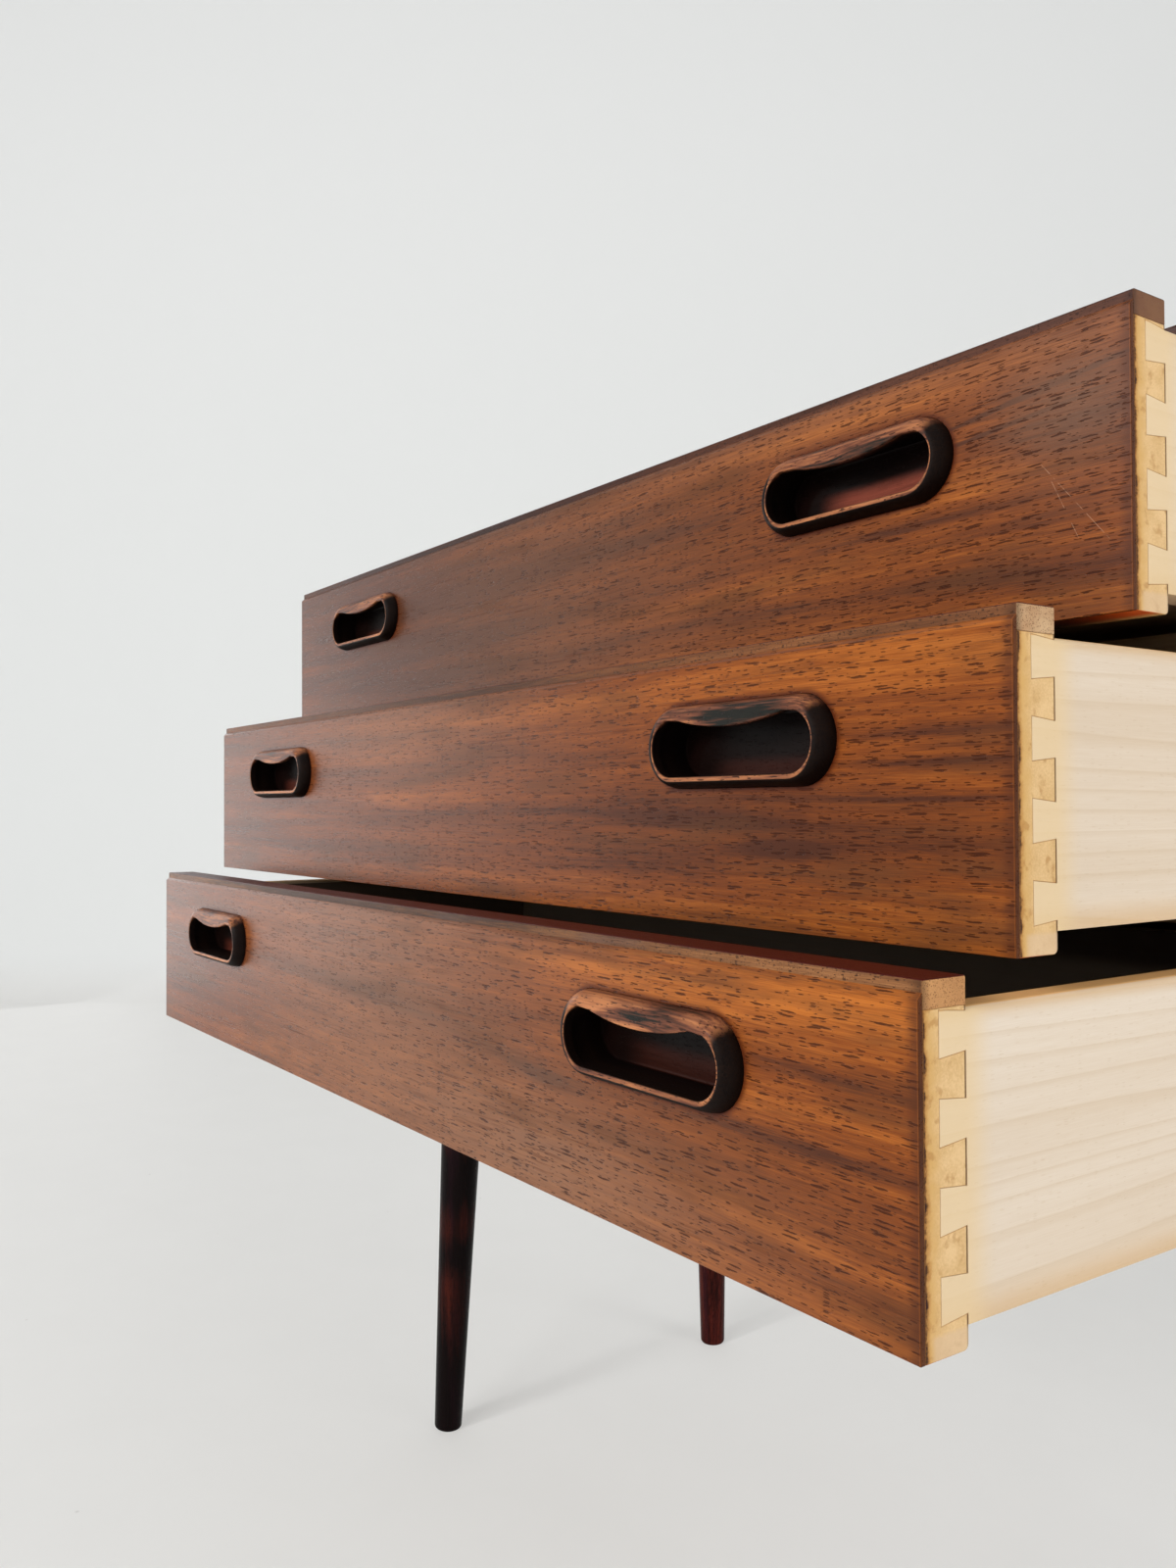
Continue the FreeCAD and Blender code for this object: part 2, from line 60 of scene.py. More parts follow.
# Where the fronts' veneer lies in its tree (m), and how far apart its leaves are
VENEER_PLACE = (1.7, 0.9, 0.62)
LEAF_STEP = 3 * MM

# The fronts, as in the part
DRAWERS = ("top", "middle", "bottom")
FRONT_HEIGHT = 110 * MM
FRONT_THICKNESS = 21 * MM
FACING_THICKNESS = 2 * MM
HANDLE_PLACE = (243 * MM, 71.4 * MM)
HANDLE_LENGTH = 105 * MM
HANDLE_HEIGHT = 34 * MM
HANDLE_DEPTH = 15.5 * MM
RIM_PROUD = 7 * MM
RIM_LENGTH = 95 * MM
RIM_HEIGHT = 26.8 * MM
RIM_DROP = 0.7 * MM
MOUTH_LENGTH = 92.4 * MM
MOUTH_HEIGHT = 23.6 * MM
MOUTH_DIP = 4.4 * MM
LOWER_LAND = 1.7 * MM
POCKET_DEPTH = 13 * MM
POCKET_UNDERCUT = 1.6 * MM
LIP_THICKNESS = 4 * MM


# Camera: its place, its yaw, pitch and roll in degrees, and its lens in mm

CAMERA_PLACE = (0.6112, -0.5556, 0.5325)
CAMERA_TURN = (55.386, 0.974, -0.265)
FOCAL_LENGTH = 28.671
SENSOR_WIDTH = 36


def camera():
    """The photograph's camera, close to the drawers' right corner and nearly level."""
    yaw, pitch, roll = (math.radians(a) for a in CAMERA_TURN)
    ahead = Vector((-math.sin(yaw) * math.cos(pitch), math.cos(yaw) * math.cos(pitch), math.sin(pitch)))
    right = Vector((math.cos(yaw), math.sin(yaw), 0))
    up = right.cross(ahead)
    turned_right = right * math.cos(roll) + up * math.sin(roll)
    turned_up = up * math.cos(roll) - right * math.sin(roll)
    lens = bpy.data.cameras.new("Camera")
    lens.sensor_width = SENSOR_WIDTH
    lens.lens = FOCAL_LENGTH
    lens.clip_start = 0.01
    seen_from = bpy.data.objects.new("Camera", lens)
    SCENE.collection.objects.link(seen_from)
    turn = Matrix((turned_right, turned_up, -ahead)).transposed().to_4x4()
    seen_from.matrix_world = Matrix.Translation(CAMERA_PLACE) @ turn
    SCENE.camera = seen_from
    return seen_from.location.copy(), ahead


# Materials

# Linear colours
ROSEWOOD = {
    "faded_and_sheen": (0.19, 0.10, 0.06),
    "pore": (0.034, 0.007, 0.002),
    "end": (0.012, 0.003, 0.002),
    "round_handle": (0.055, 0.010, 0.003),
    "scratch": (0.62, 0.36, 0.22),
    # painted shade on the lippings' upper faces
    "upper_face_light_and_shade": (0.048, 0.003, 0.002),
}
# Dark, middle and light
FACING_TONES = ((0.055, 0.015, 0.006), (0.170, 0.041, 0.006), (0.38, 0.112, 0.016))
CASE_TONES = ((0.035, 0.012, 0.007), (0.15, 0.05, 0.018), (0.33, 0.13, 0.045))
EDGING_TONES = ((0.030, 0.012, 0.008), (0.10, 0.038, 0.018), (0.20, 0.085, 0.04))
HANDLE = {
    "tones": [(0.0, (0.012, 0.012, 0.010)), (0.4, (0.135, 0.047, 0.026)), (0.95, (0.40, 0.155, 0.062))],
    "pore": (0.016, 0.006, 0.004),
    "back_wall": ((0.085, 0.018, 0.010), (0.22, 0.050, 0.028)),
    # painted shade: the pocket and flank colours stand in for shade
    "pocket": (0.0045, 0.0018, 0.0014),
    "flank_shade": (0.0030, 0.0014, 0.0011),
}
CORE = {
    "tones": [(0.25, (0.61, 0.385, 0.165)), (0.7, (0.75, 0.515, 0.26))],
    "soaked": (0.62, 0.37, 0.125),
    "spot": (0.42, 0.20, 0.055),
    "oiled": (0.40, 0.165, 0.034),
    "burnt": (0.030, 0.007, 0.004),
    "shoulder": (0.055, 0.020, 0.008),
    "corner": (0.33, 0.14, 0.04),
    "foot": (0.66, 0.48, 0.31),
    "under": (0.008, 0.002, 0.001),
    "under_far": (0.55, 0.085, 0.010),
    "under_pale": (0.62, 0.40, 0.15),
}
MAPLE = {
    "edge": (0.62, 0.40, 0.19),
    "corner": (0.42, 0.22, 0.075),
    # painted light on the sides' upper faces
    "upper_face_light_and_shade": (0.66, 0.36, 0.125),
}
# Growth lines have their own colour, strength and distance (mm)
PALE_WOODS = {
    "maple": {
        "dark": (0.70, 0.585, 0.46), "light": (0.79, 0.70, 0.595), "line": (0.56, 0.40, 0.24),
        "line_share": 0.34, "spacing": 9.0, "first": (0.74, 0.55, 0.31), "inside_shade": (0.110, 0.075, 0.050),
    },
    "drawer_plywood": {
        "dark": (0.40, 0.27, 0.15), "light": (0.52, 0.37, 0.22), "line": (0.30, 0.17, 0.08),
        "line_share": 0.5, "spacing": 9.0, "inside_shade": (0.090, 0.060, 0.040),
    },
    "runner_wood": {
        "dark": (0.55, 0.40, 0.23), "light": (0.66, 0.51, 0.33), "line": (0.42, 0.26, 0.12),
        "line_share": 0.5, "spacing": 5.0,
    },
    "back_panel": {
        "dark": (0.30, 0.185, 0.095), "light": (0.42, 0.28, 0.155), "line": (0.20, 0.11, 0.05),
        "line_share": 0.5, "spacing": 14.0,
    },
}
STEEL_TONES = [(0.3, (0.30, 0.27, 0.22)), (0.7, (0.52, 0.49, 0.44))]
FLOOR_SPECK = (0.35, 0.33, 0.30)
WALL = (0.840, 0.845, 0.835)
WALL_SEEN = ((0.808, 0.828, 0.818), (0.872, 0.884, 0.877))
WORLD_SEEN = (0.765, 0.775, 0.76, 1)
WORLD_STRENGTH = 0.26


class Graph:
    """One material's node tree, with short calls that add a node and return its output."""

    def __init__(self, name):
        self.material = bpy.data.materials.new(name)
        self.material.use_nodes = True
        self.tree = self.material.node_tree
        self.tree.nodes.clear()

    def add(self, kind, inputs=(), output=0, **settings):
        """Any node, its inputs linked or set."""
        node = self.tree.nodes.new("ShaderNode" + kind)
        for key, value in settings.items():
            setattr(node, key, value)
        for key, value in dict(inputs).items():
            if isinstance(value, bpy.types.NodeSocket):
                self.tree.links.new(value, node.inputs[key])
            else:
                node.inputs[key].default_value = value
        return node.outputs[output]

    def math(self, operation, a, b=0.0):
        return self.add("Math", {0: a, 1: b}, operation=operation)

    def scaled(self, value, factor, offset=0.0):
        """A value times a factor, plus an offset."""
        return self.math("ADD", self.math("MULTIPLY", value, factor), offset)

    def vector(self, operation, a, b):
        return self.add("VectorMath", {0: a, 1: b}, operation=operation)

    def attribute(self, name):
        """A vector that each of a mesh's points carries."""
        return self.add("Attribute", output="Vector", attribute_name=name)

    def attribute_value(self, name):
        """A number that each of a mesh's points or faces carries."""
        return self.add("Attribute", output="Fac", attribute_name=name)

    def part(self, vector, axis):
        return self.add("SeparateXYZ", {0: vector}, output=axis)

    def noise(self, vector, detail=2.0, roughness=0.5, output="Fac"):
        inputs = {"Vector": vector, "Scale": 1.0, "Detail": detail, "Roughness": roughness}
        return self.add("TexNoise", inputs, output=output)

    def smooth(self, value, low, high, to_low=0.0, to_high=1.0):
        """A smooth step from one value to another."""
        inputs = {"Value": value, "From Min": low, "From Max": high, "To Min": to_low, "To Max": to_high}
        return self.add("MapRange", inputs, interpolation_type="SMOOTHSTEP")

    def ramp(self, value, stops):
        """A colour ramp from a list of places and linear colours."""
        output = self.add("ValToRGB", {0: value})
        band = output.node.color_ramp
        while len(band.elements) < len(stops):
            band.elements.new(0.5)
        for element, (place, colour) in zip(band.elements, stops):
            element.position = place
            element.color = (*colour, 1)
        return output

    def blend(self, share, a, b):
        """A mix of two colours."""
        inputs = {0: share, 6: self.colour(a), 7: self.colour(b)}
        return self.add("Mix", inputs, output=2, data_type="RGBA", clamp_factor=True)

    def colour(self, value):
        """A colour as a socket or with its alpha."""
        return (*value, 1) if isinstance(value, tuple) else value

    def bump(self, height, depth):
        return self.add("Bump", {"Height": height, "Distance": depth, "Strength": 1.0})

    def finish(self, shader):
        """The material, with this shader on its surface."""
        node = self.tree.nodes.new("ShaderNodeOutputMaterial")
        self.tree.links.new(shader, node.inputs["Surface"])
        return self.material


def wandering(g, grain, reach=(3.0, 14.0, 14.0), sway=6 * MM):
    """The grain's coordinates, swaying a little across the grain: how fast (per metre) and how far."""
    drift = g.noise(g.vector("MULTIPLY", grain, reach), detail=2.0, output="Color")
    centred = g.vector("SUBTRACT", drift, (0.5, 0.5, 0.5))
    return g.vector("ADD", grain, g.vector("MULTIPLY", centred, (0.0, sway, sway)))


def layer(g, grain, length, width, detail=2.0):
    """Noise drawn out along the grain, from 0 to 1 about 0.5."""
    return g.noise(g.vector("MULTIPLY", grain, (1 / length, 1 / width, 1 / width)), detail=detail)


def pores(g, grain, length, width, share, seed):
    """Short dark dashes along the grain, which end grain shows as dots: 1 inside, 0 outside."""
    crooked = g.noise(g.vector("MULTIPLY", grain, (160.0, 300.0, 300.0)), detail=3.0, output="Color")
    bend = g.vector("MULTIPLY", g.vector("SUBTRACT", crooked, (0.5, 0.5, 0.5)), (0.0, width, width))
    cells = g.vector("MULTIPLY", g.vector("ADD", grain, bend), (1 / length, 1 / width, 1 / width))
    shifted = g.vector("ADD", cells, (seed, seed, seed))
    distance = g.add("TexVoronoi", {"Vector": shifted, "Scale": 1.0}, output="Distance")
    chance = g.part(distance.node.outputs["Color"], 0)
    smallest, growth = 0.10, 0.30
    reach = g.scaled(chance, growth / share, smallest - growth * (1 - share) / share)
    inside = g.smooth(distance, g.math("MULTIPLY", reach, 0.75), reach, 1.0, 0.0)
    return g.math("MULTIPLY", inside, g.math("GREATER_THAN", chance, 1 - share))


def soft_bands(g, place, bands):
    """Wide soft bands, each laid where a front has it, added up: streaks of the veneer, and also painted
    shade and sheen.
    """
    x, z = g.part(place, 0), g.part(place, 2)
    total = None
    for middle, height, slope, half_width, half_length, strength in bands:
        along = g.math("SUBTRACT", x, middle * MM)
        line = g.scaled(along, slope, height * MM)
        across = g.math("DIVIDE", g.math("SUBTRACT", z, line), half_width * MM)
        run = g.math("DIVIDE", along, half_length * MM)
        square = g.math("ADD", g.math("MULTIPLY", across, across), g.math("MULTIPLY", run, run))
        weight = g.math("EXPONENT", g.math("MULTIPLY", square, -1.0))
        band = g.math("MULTIPLY", weight, strength)
        total = band if total is None else g.math("ADD", total, band)
    return total


def scratch(g, place, first, last):
    """A hair-thin straight scratch between two places on a front (mm): 1 on it, 0 beside it."""
    run = Vector((last[0] - first[0], last[1] - first[1])) * MM
    length = run.length
    run.normalize()
    x = g.math("SUBTRACT", g.part(place, 0), first[0] * MM)
    z = g.math("SUBTRACT", g.part(place, 2), first[1] * MM)
    along = g.math("ADD", g.math("MULTIPLY", x, run.x), g.math("MULTIPLY", z, run.y))
    across = g.math("SUBTRACT", g.math("MULTIPLY", x, run.y), g.math("MULTIPLY", z, run.x))
    thin = g.smooth(g.math("ABSOLUTE", across), 0.05 * MM, 0.16 * MM, 1.0, 0.0)
    half = length / 2
    from_middle = g.math("ABSOLUTE", g.math("SUBTRACT", along, half))
    within = g.smooth(from_middle, half - 3 * MM, half, 1.0, 0.0)
    broken = g.smooth(g.noise(g.vector("MULTIPLY", place, (300.0, 300.0, 300.0))), 0.40, 0.55)
    return g.math("MULTIPLY", g.math("MULTIPLY", thin, within), broken)


def shade_around_handles(g, place):
    """How near a place on a front is to either handle, for the painted shade round it: 1 at its edge, 0 a
    little way off.
    """
    across = g.math("ABSOLUTE", g.math("SUBTRACT", g.math("ABSOLUTE", g.part(place, 0)), HANDLE_PLACE[0]))
    beyond = g.math("MAXIMUM", g.math("SUBTRACT", across, (HANDLE_LENGTH - HANDLE_HEIGHT) / 2), 0.0)
    above = g.math("SUBTRACT", g.part(place, 2), HANDLE_PLACE[1])
    square = g.math("ADD", g.math("MULTIPLY", beyond, beyond), g.math("MULTIPLY", above, above))
    gap = g.math("SUBTRACT", g.math("SQRT", square), HANDLE_HEIGHT / 2)
    return g.smooth(gap, 0.2 * MM, 3.2 * MM, 0.85, 0.0)


def open_pores(g, grain, size, share):
    """Large pores of a length and width (mm) and smaller ones between them: 1 inside, 0 outside."""
    length, width = size[0] * MM, size[1] * MM
    large = pores(g, grain, length, width, share, 3.7)
    small = pores(g, grain, length / 2.6, width / 1.6, share * 0.8, 11.3)
    return g.math("MAXIMUM", large, g.math("MULTIPLY", small, 0.9))


def with_ends(g, colour, end, ending, dark, light):
    """A front's colour with its ends at this distance from the middle: darkened by hands before them,
    with a painted highlight along the corner, and end grain on the cut, darker towards the face."""
    grain, place = g.attribute("grain"), g.attribute("place")
    from_middle = g.math("ABSOLUTE", g.part(place, 0))
    uneven = g.scaled(layer(g, grain, 0.02, 5 * MM, 3.0), 8 * MM, -4 * MM)
    near_end = g.smooth(g.math("ADD", from_middle, uneven), end - 6 * MM, end, 0.0, 0.65)
    colour = g.blend(near_end, colour, dark)
    # painted highlight: a thin lighter line just before the end, where the eased corner catches light
    edge_highlight = g.math("MULTIPLY", g.smooth(from_middle, end - 0.7 * MM, end - 0.4 * MM), 0.15)
    colour = g.blend(edge_highlight, colour, light)
    by_face = g.smooth(g.part(place, 1), 0.5 * MM, 6 * MM, 0.75, 0.0)
    ending = g.blend(by_face, ending, dark)
    return g.blend(g.smooth(from_middle, end - 0.25 * MM, end - 0.1 * MM), colour, ending)


def rosewood(
    name, dark, middle, light, bands=(), figure=0.4, pore_size=(13.0, 1.1), pore_share=0.85,
    pore_colour=ROSEWOOD["pore"], roughness=0.33, depth=0.20, gloss=0.12, end=None,
    end_colour=ROSEWOOD["end"], top=None, scratches=(), handled=False, faded_and_sheen=(),
):
    """Open-pored rosewood: broad figure and clouds, thin dark streaks, fibres, and pores cut as dashes.
    A board's ends and its upper face, where their places are given, have colours of their own, the upper
    face painted nearly black as shade, and a handled one has painted shade round its handles."""
    g = Graph(name)
    grain, place = g.attribute("grain"), g.attribute("place")
    swaying = wandering(g, grain)
    broad = layer(g, swaying, 0.30, 12 * MM, 3.0)
    narrow = layer(g, swaying, 0.09, 2.2 * MM, 3.0)
    fine = layer(g, swaying, 0.028, 0.7 * MM, 2.0)
    fibre = layer(g, grain, 0.012, 0.28 * MM, 2.0)
    tone = g.scaled(g.math("SUBTRACT", broad, 0.5), 2.4 * figure, 0.46)
    for noise, weight in ((narrow, 0.7), (fine, 0.55), (fibre, 0.8)):
        tone = g.math("ADD", tone, g.math("MULTIPLY", g.math("SUBTRACT", noise, 0.5), weight))
    if bands:
        drift = g.vector("ADD", place, g.vector("SUBTRACT", swaying, grain))
        uneven = g.math("ADD", narrow, fine)
        tone = g.math("ADD", tone, g.math("MULTIPLY", soft_bands(g, drift, bands), uneven))
    colour = g.ramp(tone, [(0.0, dark), (0.45, middle), (1.0, light)])
    # fading, and on the top front a painted sheen at its right end
    if faded_and_sheen:
        colour = g.blend(soft_bands(g, place, faded_and_sheen), colour, ROSEWOOD["faded_and_sheen"])
    cloud = layer(g, swaying, 0.09, 12 * MM, 4.0)
    dusky = (middle[0] * 0.48, middle[1] * 0.70, middle[2] * 1.6)
    colour = g.blend(g.smooth(cloud, 0.50, 0.72, 0.0, 0.6), colour, dusky)
    gathered = g.smooth(layer(g, grain, 0.07, 8 * MM, 3.0), 0.38, 0.60, 0.25, 1.0)
    streak = g.math("MULTIPLY", g.smooth(fine, 0.52, 0.62), gathered)
    colour = g.blend(g.math("MULTIPLY", streak, 0.5), colour, dark)
    holes = open_pores(g, grain, pore_size, pore_share)
    if handled:
        shallower = g.smooth(g.part(place, 0), -0.35, 0.20, 0.30, 1.0)
        holes = g.math("MULTIPLY", holes, shallower)
    colour = g.blend(g.math("MULTIPLY", holes, 0.82), colour, pore_colour)
    if handled:
        # painted shade round the handles, where the face meets them
        colour = g.blend(shade_around_handles(g, place), colour, ROSEWOOD["round_handle"])
    for first, last in scratches:
        mark = g.math("MULTIPLY", scratch(g, place, first, last), 0.32)
        colour = g.blend(mark, colour, ROSEWOOD["scratch"])
    if end:
        speck = pores(g, grain, pore_size[0] * MM, 0.7 * MM, 0.8, 5.9)
        ending = g.blend(g.scaled(broad, 1.4, -0.35), end_colour, light)
        ending = g.blend(g.math("MULTIPLY", speck, 0.75), ending, middle)
        colour = with_ends(g, colour, end, ending, dark, light)
    if top:
        # painted shade: the upper face nearly black
        upper = g.smooth(g.part(place, 2), top - 0.45 * MM, top - 0.2 * MM)
        colour = g.blend(upper, colour, ROSEWOOD["upper_face_light_and_shade"])
    height = g.math("SUBTRACT", g.math("MULTIPLY", fibre, 0.15), holes)
    shine = g.math("ADD", g.scaled(narrow, 0.12, roughness - 0.06), g.math("MULTIPLY", holes, -0.05))
    inputs = {
        "Base Color": colour,
        "Roughness": shine,
        "Normal": g.bump(height, depth * MM),
        "Specular IOR Level": gloss,
    }
    return g.finish(g.add("BsdfPrincipled", inputs))


def pale_wood(name, height, dark, light, line, line_share, spacing, first=None, inside_shade=None):
    """Close-grained pale wood with faint growth lines and short flecks. Where a colour is given for the
    first centimetres of a board of this height, they are tinted with it, its long edges and corners are
    darker, and its upper face is painted lighter and warmer, as lit. Its faces towards a drawer's inside
    are painted dark, as shade, where a colour is given for them."""
    g = Graph(name)
    grain = g.attribute("grain")
    swaying = wandering(g, grain, (2.0, 9.0, 9.0), 10 * MM)
    broad = layer(g, swaying, 0.5, 25 * MM, 3.0)
    narrow = layer(g, swaying, 0.12, 2.0 * MM, 2.0)
    fibre = layer(g, grain, 0.012, 0.35 * MM, 2.0)
    tone = g.scaled(g.math("SUBTRACT", broad, 0.5), 1.8, 0.5)
    tone = g.math("ADD", tone, g.math("MULTIPLY", g.math("SUBTRACT", narrow, 0.5), 0.5))
    colour = g.ramp(tone, [(0.1, dark), (0.9, light)])
    uneven = layer(g, swaying, 0.9, spacing * 5 * MM, 1.0)
    years = g.math("DIVIDE", g.part(grain, 2), spacing * MM)
    saw = g.math("FRACT", g.math("ADD", years, g.math("MULTIPLY", uneven, 5.0)))
    sharp = g.math("MULTIPLY", g.smooth(saw, 0.0, 0.07, 1.0, 0.0), line_share)
    fade = g.math("MULTIPLY", g.smooth(saw, 0.72, 1.0, 0.0, 1.0), line_share * 0.7)
    colour = g.blend(g.math("MAXIMUM", sharp, fade), colour, line)
    marks = pores(g, grain, 4 * MM, 0.5 * MM, 0.3, 5.1)
    colour = g.blend(g.math("MULTIPLY", marks, 0.25), colour, line)
    colour = g.blend(g.scaled(fibre, 0.35), colour, line)
    if first:
        place = g.attribute("place")
        tinted = g.smooth(g.part(place, 0), 11 * MM, 26 * MM, 0.75, 0.0)
        low = g.smooth(g.part(place, 2), 1 * MM, 11 * MM, 0.60, 0.0)
        high = g.smooth(g.part(place, 2), height - 6 * MM, height, 0.0, 0.60)
        colour = g.blend(g.math("MAXIMUM", low, high), colour, MAPLE["edge"])
        colour = g.blend(tinted, colour, first)
        corner = g.math("MULTIPLY", g.attribute_value("corner"), narrow)
        colour = g.blend(corner, colour, MAPLE["corner"])
        # painted light: the side's upper face lighter and warmer, as lit
        upper = g.smooth(g.part(place, 2), height - 0.4 * MM, height - 0.2 * MM, 0.0, 0.85)
        colour = g.blend(upper, colour, MAPLE["upper_face_light_and_shade"])
    if inside_shade:
        # painted shade: the faces towards a drawer's inside darkened, as shade
        inside = g.math("MULTIPLY", g.attribute_value("inside"), 0.9)
        colour = g.blend(inside, colour, inside_shade)
    relief = g.math("SUBTRACT", g.math("MULTIPLY", fibre, 0.3), g.math("MULTIPLY", marks, 0.5))
    inputs = {
        "Base Color": colour,
        "Roughness": g.scaled(narrow, 0.15, 0.5),
        "Normal": g.bump(relief, 0.05 * MM),
        "Specular IOR Level": 0.2,
    }
    return g.finish(g.add("BsdfPrincipled", inputs))


def oiled(g, colour, grain, swaying, behind):
    """The core's colour with the facing's oil in it: soaked in unevenly, spotted, and nearly black where
    the two meet."""
    wavy = g.scaled(layer(g, swaying, 0.004, 4 * MM, 3.0), 6 * MM, -3 * MM)
    ragged = g.math("ADD", behind, wavy)
    soaked = g.smooth(ragged, 1 * MM, 9 * MM, 0.95, 0.0)
    colour = g.blend(soaked, colour, CORE["soaked"])
    spots = g.smooth(layer(g, grain, 0.003, 5 * MM, 4.0), 0.56, 0.68, 0.0, 0.55)
    colour = g.blend(spots, colour, CORE["spot"])
    coarse = g.scaled(layer(g, grain, 0.002, 7 * MM, 3.0), 4.2 * MM, -2.1 * MM)
    small = g.scaled(layer(g, grain, 0.002, 1.1 * MM, 3.0), 1.6 * MM, -0.8 * MM)
    drop = g.math("ADD", g.math("ADD", behind, coarse), small)
    colour = g.blend(g.smooth(drop, 0.2 * MM, 3.0 * MM, 0.90, 0.0), colour, CORE["oiled"])
    return g.blend(g.smooth(drop, 0.1 * MM, 1.3 * MM, 1.0, 0.0), colour, CORE["burnt"])


def core_underside(g, place, behind):
    """The core's lower face: painted nearly black as shade, but redder towards the right end, where oil
    stains it, and pale there at the rear.
    """
    far = g.smooth(g.part(place, 0), 318 * MM, 368 * MM)
    stained = g.blend(far, CORE["under"], CORE["under_far"])
    pale = g.math("MULTIPLY", g.smooth(behind, 8 * MM, 18 * MM), far)
    return g.blend(pale, stained, CORE["under_pale"])


def core_wood():
    """The fronts' pale core, stained where the facing's oil soaked into it and dark along its joints."""
    g = Graph("core_wood")
    grain, place = g.attribute("grain"), g.attribute("place")
    swaying = wandering(g, grain, (9.0, 40.0, 40.0), 2 * MM)
    broad = layer(g, swaying, 0.05, 9 * MM, 3.0)
    narrow = layer(g, swaying, 0.02, 0.7 * MM, 2.0)
    tone = g.math("ADD", broad, g.math("MULTIPLY", g.math("SUBTRACT", narrow, 0.5), 0.8))
    colour = g.ramp(tone, CORE["tones"])
    behind = g.math("SUBTRACT", g.part(place, 1), FACING_THICKNESS)
    colour = oiled(g, colour, grain, swaying, behind)
    rear = FRONT_THICKNESS
    shoulder = g.smooth(g.part(place, 1), rear - 1.0 * MM, rear - 0.5 * MM, 0.0, 0.9)
    colour = g.blend(shoulder, colour, CORE["shoulder"])
    corner = g.math("MULTIPLY", g.attribute_value("corner"), narrow)
    colour = g.blend(corner, colour, CORE["corner"])
    height = g.math("ADD", g.part(place, 2), g.scaled(narrow, 2 * MM, -1 * MM))
    foot = g.smooth(height, 6 * MM, 8 * MM, 0.6, 0.0)
    foot = g.math("MULTIPLY", foot, g.smooth(behind, 2 * MM, 5 * MM))
    colour = g.blend(foot, colour, CORE["foot"])
    # painted shade on the core's lower face
    under = g.smooth(g.part(place, 2), 0.05 * MM, 0.3 * MM, 1.0, 0.0)
    colour = g.blend(under, colour, core_underside(g, place, behind))
    inputs = {
        "Base Color": colour,
        "Roughness": g.scaled(narrow, 0.2, 0.45),
        "Normal": g.bump(narrow, 0.04 * MM),
        "Specular IOR Level": 0.2,
    }
    return g.finish(g.add("BsdfPrincipled", inputs))


def handle_wood(name, bands, lit_height, lit_share):
    """Rosewood with painted shade: pale on the rim's crest, and nearly black on its flanks and in the
    pocket, but for the lower part of its back wall, which is painted as lit."""
    g = Graph(name)
    grain, place = g.attribute("grain"), g.attribute("place")
    swaying = wandering(g, grain, (20.0, 60.0, 60.0), 5 * MM)
    broad = layer(g, swaying, 0.05, 7 * MM, 3.0)
    narrow = layer(g, swaying, 0.02, 1.2 * MM, 3.0)
    fine = g.math("MULTIPLY", g.math("SUBTRACT", narrow, 0.5), 1.6)
    tone = g.math("ADD", g.scaled(broad, 1.6, -0.18), fine)
    drift = g.vector("ADD", place, g.vector("SUBTRACT", swaying, grain))
    tone = g.math("ADD", tone, soft_bands(g, drift, bands))
    colour = g.ramp(tone, HANDLE["tones"])
    large = pores(g, grain, 7 * MM, 0.9 * MM, 0.6, 2.2)
    small = pores(g, grain, 3 * MM, 0.6 * MM, 0.5, 7.9)
    holes = g.math("MAXIMUM", large, small)
    colour = g.blend(g.math("MULTIPLY", holes, 0.85), colour, HANDLE["pore"])
    deep = g.smooth(g.part(place, 1), 3 * MM, 9 * MM)
    # painted light: the lower part of the pocket's back wall is left lit, the rest of the pocket is painted
    # shade
    low_part = g.smooth(g.part(place, 2), (lit_height - 6) * MM, lit_height * MM, lit_share, 0.0)
    lit_back = g.math("MULTIPLY", low_part, g.smooth(g.part(place, 0), -34 * MM, -12 * MM))
    back_in_shade = g.math("SUBTRACT", 1.0, lit_back)
    colour = g.blend(deep, colour, g.blend(narrow, *HANDLE["back_wall"]))
    colour = g.blend(g.math("MULTIPLY", deep, back_in_shade), colour, HANDLE["pocket"])
    shaded = g.attribute_value("shaded")
    uneven = g.math("ADD", shaded, g.scaled(narrow, 0.3, -0.15))
    # painted shade: the flanks and lower side turned nearly black by the shaded attribute
    colour = g.blend(g.smooth(uneven, 0.05, 0.60, 0.0, 0.99), colour, HANDLE["flank_shade"])
    inputs = {
        "Base Color": colour,
        "Roughness": g.math("ADD", g.scaled(narrow, 0.2, 0.24), g.math("MULTIPLY", shaded, 0.2)),
        "Normal": g.bump(g.math("SUBTRACT", g.math("MULTIPLY", narrow, 0.3), holes), 0.1 * MM),
        "Specular IOR Level": 0.08,
    }
    return g.finish(g.add("BsdfPrincipled", inputs))


def steel():
    """Zinc-plated steel, a little dull and scratched."""
    g = Graph("steel")
    place = g.attribute("place")
    dull = g.noise(g.vector("MULTIPLY", place, (90.0, 90.0, 90.0)), detail=4.0)
    brushed = g.noise(g.vector("MULTIPLY", place, (60.0, 3000.0, 3000.0)), detail=1.0)
    colour = g.ramp(dull, STEEL_TONES)
    inputs = {
        "Base Color": colour,
        "Metallic": 1.0,
        "Roughness": g.math("ADD", g.scaled(dull, 0.3, 0.2), g.math("MULTIPLY", brushed, 0.1)),
        "Normal": g.bump(brushed, 0.01 * MM),
    }
    return g.finish(g.add("BsdfPrincipled", inputs))
